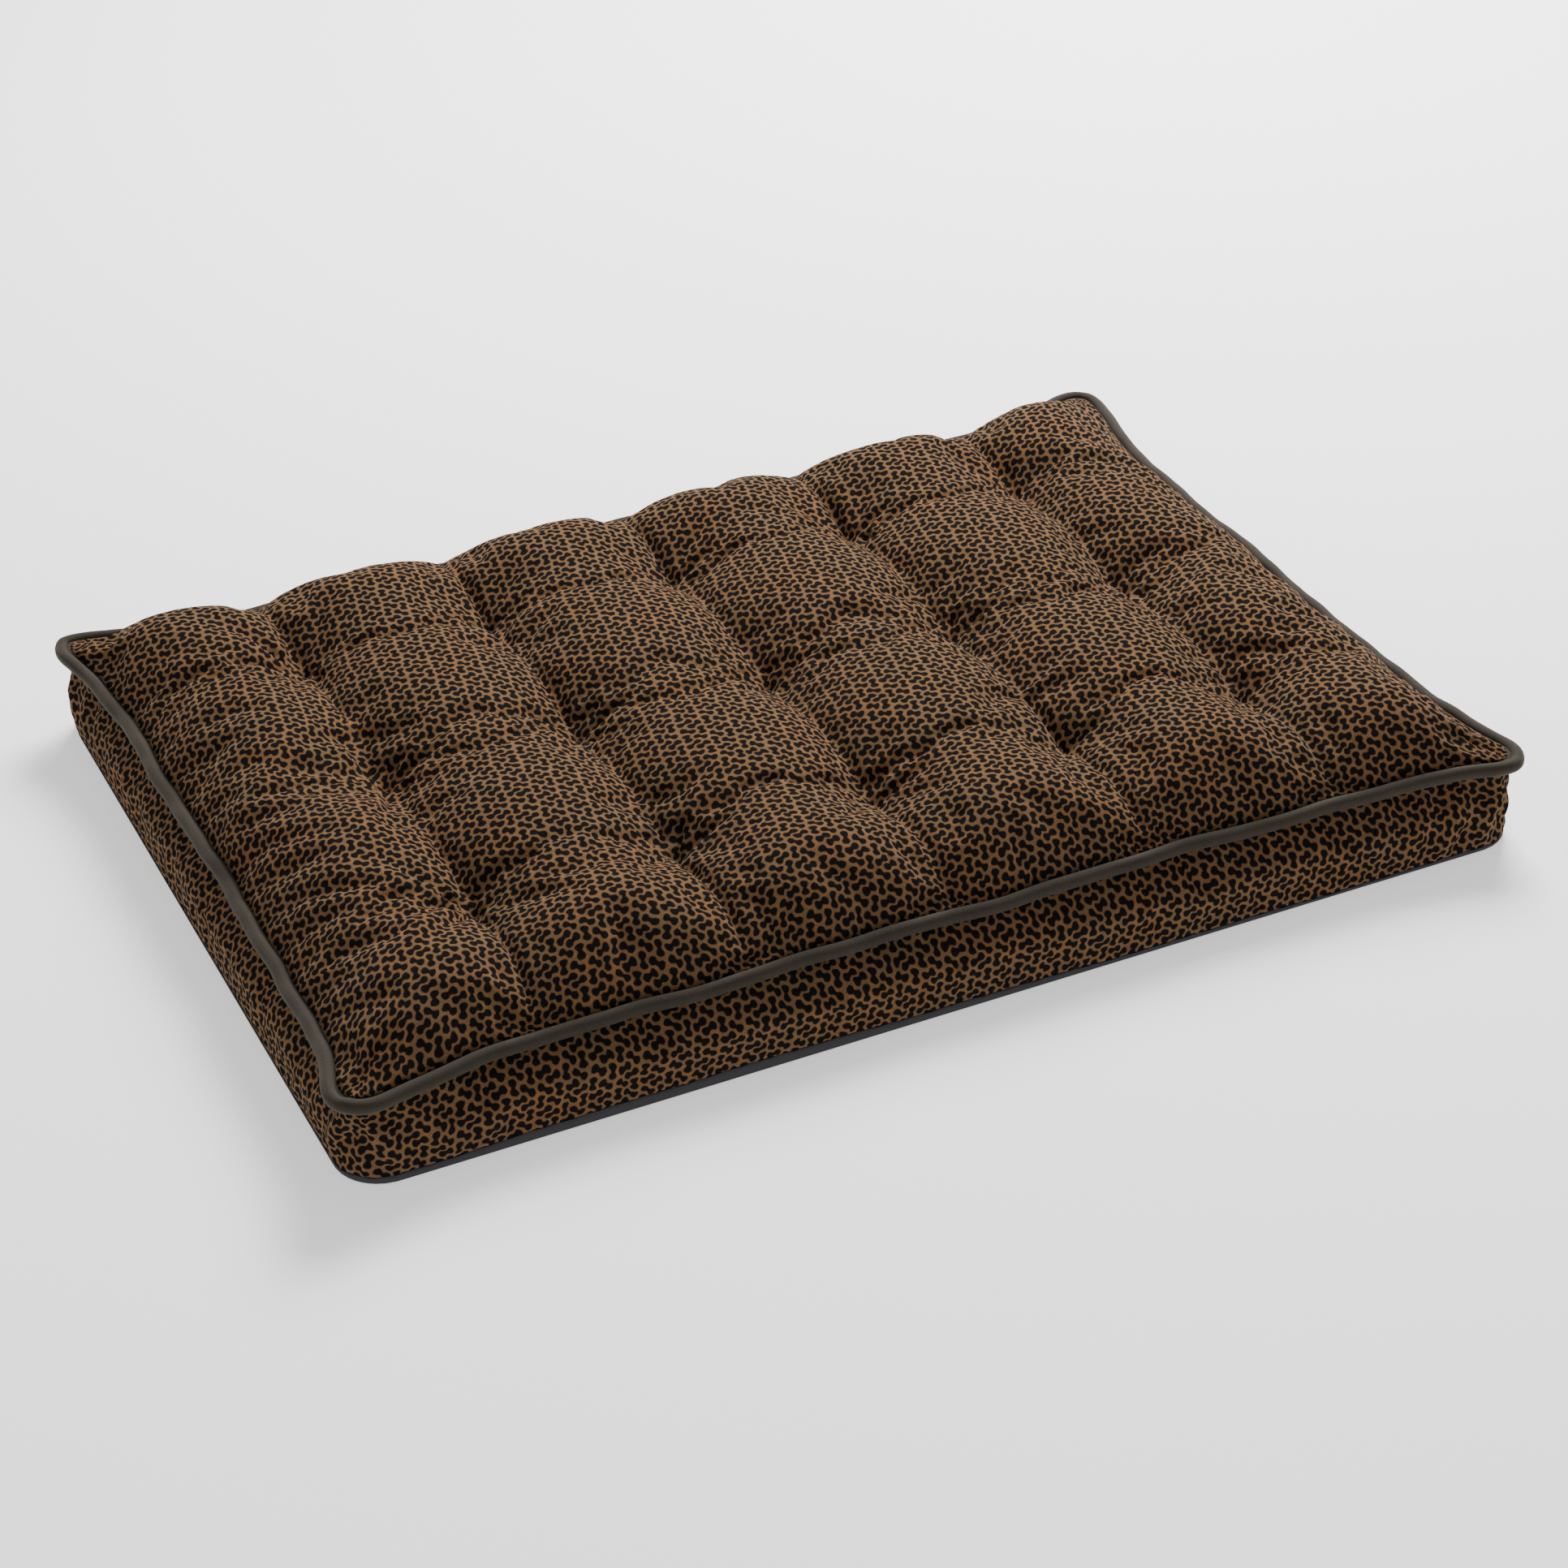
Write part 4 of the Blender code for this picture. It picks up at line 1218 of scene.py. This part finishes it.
def finish(name):
    """A shared material, made the first time that it is asked for."""
    look = bpy.context.scene.bed_cloth
    makers = {
        "printed_velvet": lambda: print_material(look),
        "piping_velvet": lambda: piping_material(look),
        "base_cloth": lambda: woven_material(
            "base_cloth", look.base_thread, look.base_shade, 0.9 * MM, 0.8, 0.12
        ),
        "liner_cloth": lambda: woven_material(
            "liner_cloth", (0.66, 0.64, 0.58), (0.42, 0.40, 0.36), 0.6 * MM, 0.85, 0.1
        ),
        "polyester_fibre": fibre_material,
        "tufting_thread": lambda: thread_material(
            "tufting_thread", (0.030, 0.024, 0.020), (0.010, 0.008, 0.007), 1.6 * MM
        ),
        "piping_core": lambda: thread_material(
            "piping_core", (0.60, 0.56, 0.48), (0.36, 0.33, 0.28), 5.0 * MM
        ),
        "zip_tape": lambda: woven_material(
            "zip_tape", (0.020, 0.019, 0.022), (0.009, 0.009, 0.011), 0.8 * MM, 0.75, 0.08
        ),
        "zip_coil": lambda: nylon_material("zip_coil", (0.016, 0.015, 0.017)),
        "zip_metal": lambda: metal_material("zip_metal", (0.085, 0.070, 0.052)),
    }
    return bpy.data.materials.get(name) or makers[name]()


# ---------------------------------------------------------------- operators


class BEDS_OT_pillow_top(bpy.types.Operator):
    """Build the tufted top cloth, the batting under it and the scrim below"""

    bl_idname = "beds.pillow_top"
    bl_label = "Pillow top"

    def execute(self, context):
        shape = context.scene.bed_top
        points, cage, cut = top_surface(shape)
        top = grid_piece(
            "printed_top", points, "printed_velvet", "top_panel", PRINT_CLOTH
        )

        x, y = np.meshgrid(
            cage_axis(HALF_LENGTH, COLUMNS, SCRIM_CELL), cage_axis(HALF_WIDTH, ROWS, SCRIM_CELL)
        )
        height = SCRIM_TOP - 0.1 * MM + seam_lift(x, y)
        flat = stacked(*sewn(x, y, 1, WALL_TOP_INSET), height)
        scrim = grid_piece("scrim", flat, "liner_cloth", "quilt_scrim", SCRIM_CLOTH)

        under = points[4:-4:2, 4:-4:2].copy()
        lean = np.maximum(grid_normals(under)[..., 2], 0.45)
        under[..., 2] = np.maximum(under[..., 2] - shape.batting_gap / lean, SCRIM_TOP + 1.5 * MM)
        pad = padding_between(under, SCRIM_TOP + BATTING_FLOOR)
        batting = add_piece("batting", pad, "polyester_fibre", "pillow_filling")

        off = np.maximum(to_line(cage[..., 0], COLUMNS), to_line(cage[..., 1], ROWS))
        context.scene["tuft_places"] = points[off < 0.1 * MM].ravel().tolist()
        return {"FINISHED"}


class BEDS_OT_stitches(bpy.types.Operator):
    """Build the thread of each tuft, from its stitch on the cloth to its knot under the scrim"""

    bl_idname = "beds.stitches"
    bl_label = "Tuft stitches"

    def execute(self, context):
        shape = context.scene.bed_stitch
        places = np.reshape(context.scene["tuft_places"], (-1, 3))
        for node, place in zip(TIES, places):
            start = place + (0, 0, -shape.sink)
            points, faces, cloth = tuft_stitch(start, SCRIM_TOP - 0.8 * MM, shape)
            name = node.replace("tuft_tie", "stitch")
            add_piece(name, (points, faces), "tufting_thread", node, cloth)
        return {"FINISHED"}


class BEDS_OT_piping(bpy.types.Operator):
    """Build the piping: a bias strip round a soft cord, along the whole outline"""

    bl_idname = "beds.piping"
    bl_label = "Piping"

    def execute(self, context):
        look = context.scene.bed_sewn
        line = piping_line(look.piping_cell)
        section = piping_section(look)
        rings = swept(line, section)
        index = np.arange(rings[..., 0].size).reshape(rings.shape[:2])
        after = np.roll(index, -1, 0)
        faces = stacked(index[:, :-1], after[:, :-1], after[:, 1:], index[:, 1:]).reshape(-1, 4)
        girth = path_length(section)
        run = path_length(np.concatenate([line, line[:1]]))
        u, v = (run[:-1, None], run[1:, None]), (girth[None, :-1], girth[None, 1:])
        corners = ((0, 0), (1, 0), (1, 1), (0, 1))
        place = np.stack([stacked(u[i], v[j]) for i, j in corners], -2).reshape(-1, 4, 2)
        cover = add_piece(
            "piping_strip", (rings, faces), "piping_velvet", "piping_cover", place,
            thickness=PIPING_CLOTH,
        )

        core = lofted(tube_rings(line, CORD_RADIUS, CORD_SIDES, ring=True), "joined")
        girth = np.arange(CORD_SIDES) * CORD_RADIUS * 2 * np.pi / CORD_SIDES
        cloth = stacked(np.repeat(run[:-1], CORD_SIDES), np.tile(girth, len(line)))
        add_piece("piping_core", core, "piping_core", "piping_cord", cloth)
        return {"FINISHED"}


class BEDS_OT_walls(bpy.types.Operator):
    """Build the side band and the two back panels that hold the zip"""

    bl_idname = "beds.walls"
    bl_label = "Side walls"

    def execute(self, context):
        look = context.scene.bed_sewn
        seam = BACK_SEAM + 0.8 * MM
        corners = (
            (-seam, HALF_WIDTH), (-HALF_LENGTH, HALF_WIDTH), (-HALF_LENGTH, -HALF_WIDTH),
            (HALF_LENGTH, -HALF_WIDTH), (HALF_LENGTH, HALF_WIDTH), (seam, HALF_WIDTH),
        )
        band_points, band_cut = wall_strip(corners, look)
        back = extent("zip_panel_lower")[0]
        lean = DRAW_IN_LONG + WALL_TOP_INSET - BASE_INSET
        upper = STRAIGHT_WALL - UPPER_EDGE + math.hypot(WALL_TOP - STRAIGHT_WALL, lean)
        pieces = (
            ("side_band", band_points, "gusset_band", band_cut),
            ("back_panel_below_zip", zip_edge_wall(-1, look), "zip_panel_lower",
             (back, LOWER_EDGE - WALL_FOOT)),
            ("back_panel_above_zip", zip_edge_wall(1, look), "zip_panel_upper", (back, upper)),
        )
        for name, points, node, cut in pieces:
            panel = grid_piece(name, points, "printed_velvet", node, PRINT_CLOTH)
        return {"FINISHED"}


class BEDS_OT_base(bpy.types.Operator):
    """Build the base cloth, turned up all round to the base seam"""

    bl_idname = "beds.base"
    bl_label = "Base cloth"

    def execute(self, context):
        points, faces = lofted(base_shape(context.scene.bed_sewn), "first")
        base = add_piece(
            "base", (points, faces), "base_cloth", "base_panel", points[:, :2],
            thickness=BASE_CLOTH,
        )
        return {"FINISHED"}


class BEDS_OT_inner_cushion(bpy.types.Operator):
    """Build the fibre slab and the liner bag round it"""

    bl_idname = "beds.inner_cushion"
    bl_label = "Inner cushion"

    def execute(self, context):
        low, high = (float(corner[2]) for corner in frame_box("inner_liner"))
        points, faces = lofted(pillow_rings(LINER_INSET, low, high))
        liner = add_piece(
            "liner_bag", (points, faces), "liner_cloth", "inner_liner",
            points[:, :2], thickness=LINER_CLOTH,
        )

        slab_shape = lofted(pillow_rings(FIBRE_INSET, low + FIBRE_GAP, high - FIBRE_GAP))
        fibre = add_piece(
            "fibre_slab", slab_shape, "polyester_fibre", "inner_fibre_slab"
        )
        return {"FINISHED"}


class BEDS_OT_zip(bpy.types.Operator):
    """Build the zip: two tapes, the coil's teeth, two stops, the slider and its pull"""

    bl_idname = "beds.zip"
    bl_label = "Zip"

    pitch: metres("Tooth pitch", "Spacing of the teeth along one side", 0.0025)

    def execute(self, context):
        self.tapes()
        self.teeth()
        self.stops()
        self.slider()
        self.pull()
        return {"FINISHED"}

    def tapes(self):
        for side, label in ((1, "upper"), (-1, "lower")):
            node = f"zip_tape_{label}"
            low, high = frame_box(node)
            inner = low[2] if side > 0 else high[2]
            x = np.linspace(high[0], low[0], 200)
            z = np.linspace(0, side * TAPE_CUT, 6)[::side]
            x, z = np.meshgrid(x, inner + z)
            y = high[1] - 0.1 * MM + 0.08 * MM * waver(3 * x, 2.0)
            points = stacked(x, y, z)
            tape = grid_piece(f"tape_{label}", points, "zip_tape", node, TAPE_CLOTH)

    def teeth(self):
        for side, label in ((1, "upper"), (-1, "lower")):
            node = f"zip_teeth_{label}"
            low, high = frame_box(node)
            first = low[0] + (0.75 if side > 0 else 0.25) * self.pitch
            x = np.arange(first, high[0] - 0.2 * self.pitch, self.pitch)
            shifts = stacked(x, (low[1] + high[1]) / 2, ZIP_HEIGHT)
            coil = copied(*coil_tooth(side), shifts)
            add_piece(f"coil_{label}", coil, "zip_coil", node)

    def stops(self):
        for label in ("open_end", "closed_end"):
            node = f"zip_stop_{label}"
            low, high = frame_box(node)
            half = (high - low) / 2
            shape = outline(half[0], half[2], 0.8 * MM, 32) + (low + half)[[0, 2]]
            stop = slab(shape, low[1], high[1], 0.5 * MM)
            add_piece(node.replace("zip_", ""), stop, "zip_metal", node)

    def slider(self):
        """Two waisted plates, a post between them, side rails and the bridge for the pull."""
        low, high = frame_box("zip_slider")
        centre, half = (low + high) / 2, (high - low) / 2
        shape = outline(half[0], half[2], 2.6 * MM, 56, 2.4)
        nose = smooth_step((shape[:, :1] / half[0] + 0.2) / 1.2)
        waist = np.exp(-((shape[:, :1] / (0.35 * half[0])) ** 2))
        shape = shape * np.hstack([np.ones_like(nose), 1 - 0.20 * nose - 0.10 * waist])
        shape = shape + centre[[0, 2]]
        tape_back = face("zip_tape_upper", LOW, axis=1)
        plate = face("zip_stop_closed_end", HIGH, axis=1)
        parts = [
            slab(shape, low[1], tape_back - 0.25 * MM, 0.25 * MM),
            slab(shape, plate - 1.0 * MM, plate, 0.35 * MM),
        ]
        for side in (-1, 1):
            rail = outline(half[0] * 0.72, 0.4 * MM, 0.3 * MM, 20)
            rail = rail + (centre[0] - 0.6 * MM, centre[2] + side * (half[2] - 0.9 * MM))
            parts.append(slab(rail, plate - 2.3 * MM, plate - 0.6 * MM, 0.2 * MM))
        post = outline(0.9 * MM, 0.35 * MM, 0.3 * MM, 20) + (high[0] - 1.3 * MM, centre[2])
        parts.append(slab(post, low[1] + 0.3 * MM, plate - 0.4 * MM, 0.15 * MM))
        angle = np.linspace(0, np.pi, 15)
        over = plate - 0.5 * MM + (high[1] - plate) * np.sin(angle)
        bridge = stacked(centre[0] + 3.6 * MM * np.cos(angle), over, centre[2])
        rings = tube_rings(bridge, 0.45 * MM, 12)
        rings[..., 2] = centre[2] + (rings[..., 2] - centre[2]) * 1.9
        parts.append(lofted(rings))
        add_piece(
            "slider", merged(parts), "zip_metal", "zip_slider", body="zip_slider"
        )

    def pull(self):
        """A flat tongue that tapers to its window, whose end bar lies under the slider's bridge."""
        low, high = frame_box("zip_pull")
        centre, half = (low + high) / 2, (high - low) / 2
        shape = outline(half[0], half[2], 2.2 * MM, 64, 2.0)
        taper = 1 - 0.30 * smooth_step((shape[:, :1] / half[0] - 0.1) / 0.9)
        shape = shape * np.hstack([np.ones_like(taper), taper]) + centre[[0, 2]]
        window = outline(2.6 * MM, 1.35 * MM, 0.9 * MM, 64) + (high[0] - 4.1 * MM, centre[2])
        tab = holed_plate(shape, window, low[1], high[1], 0.3 * MM)
        add_piece("pull_tab", tab, "zip_metal", "zip_pull", body="zip_pull")


class BEDS_OT_stage(bpy.types.Operator):
    """Build the floor, the lights and the camera"""

    bl_idname = "beds.stage"
    bl_label = "Stage"

    def execute(self, context):
        scene, look = context.scene, context.scene.bed_stage
        graph = Graph("studio_floor")
        material = graph.finish(graph.shader(
            (0.95, 0.95, 0.95, 1), Roughness=0.9, Emission_Color=(1, 1, 1, 1),
            Emission_Strength=0.60,
        ))
        corners = FLOOR_REACH * np.array([[-1, -1, 0], [1, -1, 0], [1, 1, 0], [-1, 1, 0]])
        mesh = build_mesh("Floor", corners, [[0, 1, 2, 3]])
        mesh.materials.append(material)
        floor = bpy.data.objects.new("Floor", mesh)
        scene.collection.objects.link(floor)
        lamps = [
            self.lamp("Key", *KEY_LAMP, look.key), self.lamp("Fill", *FILL_LAMP, look.fill)
        ]
        scene.world = scene.world or bpy.data.worlds.new("Studio")
        scene.world.use_nodes = True
        background = scene.world.node_tree.nodes["Background"]
        background.inputs["Color"].default_value = (1.0, 1.0, 1.0, 1)
        background.inputs["Strength"].default_value = look.sky
        camera = bpy.data.objects.new("Camera", bpy.data.cameras.new("Camera"))
        scene.collection.objects.link(camera)
        camera.data.lens, camera.data.sensor_width = look.lens, 36
        camera.data.dof.use_dof = False
        camera.matrix_world = self.aim(look)
        scene.camera = camera
        return {"FINISHED"}

    def lamp(self, name, place, size, power):
        """A square lamp that faces the middle of the bed."""
        data = bpy.data.lights.new(name, "AREA")
        data.size, data.energy = size, power
        lamp = bpy.data.objects.new(name, data)
        bpy.context.scene.collection.objects.link(lamp)
        lamp.location = place
        lamp.rotation_euler = Vector(place).to_track_quat("Z", "Y").to_euler()
        return lamp

    def aim(self, look):
        """The camera's place: back along its own Z from the target, tilted by the roll."""
        az, el = look.azimuth, look.elevation
        back = Vector((math.sin(az) * math.cos(el), -math.cos(az) * math.cos(el), math.sin(el)))
        right = Vector((0, 0, 1)).cross(back).normalized()
        up = back.cross(right)
        turned = right * math.cos(look.roll) + up * math.sin(look.roll)
        upright = up * math.cos(look.roll) - right * math.sin(look.roll)
        place = Matrix((turned, upright, back)).transposed().to_4x4()
        place.translation = Vector(look.target) + look.distance * back
        return place


class BEDS_PT_panel(bpy.types.Panel):
    bl_label = "Cushion Bed"
    bl_idname = "BEDS_PT_panel"
    bl_space_type = "VIEW_3D"
    bl_region_type = "UI"
    bl_category = "Cushion Bed"

    def draw(self, context):
        column = self.layout.column()
        for operator in OPERATORS:
            column.operator(operator.bl_idname)
        for name, group in SETTINGS.items():
            box = column.box()
            for prop in group.__annotations__:
                box.prop(getattr(context.scene, name), prop)


OPERATORS = (
    BEDS_OT_pillow_top, BEDS_OT_stitches, BEDS_OT_piping, BEDS_OT_walls, BEDS_OT_base,
    BEDS_OT_inner_cushion, BEDS_OT_zip, BEDS_OT_stage,
)


def register():
    for cls in (*SETTINGS.values(), *OPERATORS, BEDS_PT_panel):
        bpy.utils.register_class(cls)
    for name, group in SETTINGS.items():
        setattr(bpy.types.Scene, name, PointerProperty(type=group))


def unregister():
    for name in SETTINGS:
        delattr(bpy.types.Scene, name)
    for cls in reversed((*SETTINGS.values(), *OPERATORS, BEDS_PT_panel)):
        bpy.utils.unregister_class(cls)


def main():
    register()
    bpy.ops.beds.pillow_top()
    bpy.ops.beds.stitches()
    bpy.ops.beds.piping()
    bpy.ops.beds.walls()
    bpy.ops.beds.base()
    bpy.ops.beds.inner_cushion()
    bpy.ops.beds.zip()
    bpy.ops.beds.stage()


if __name__ == "__main__":
    main()
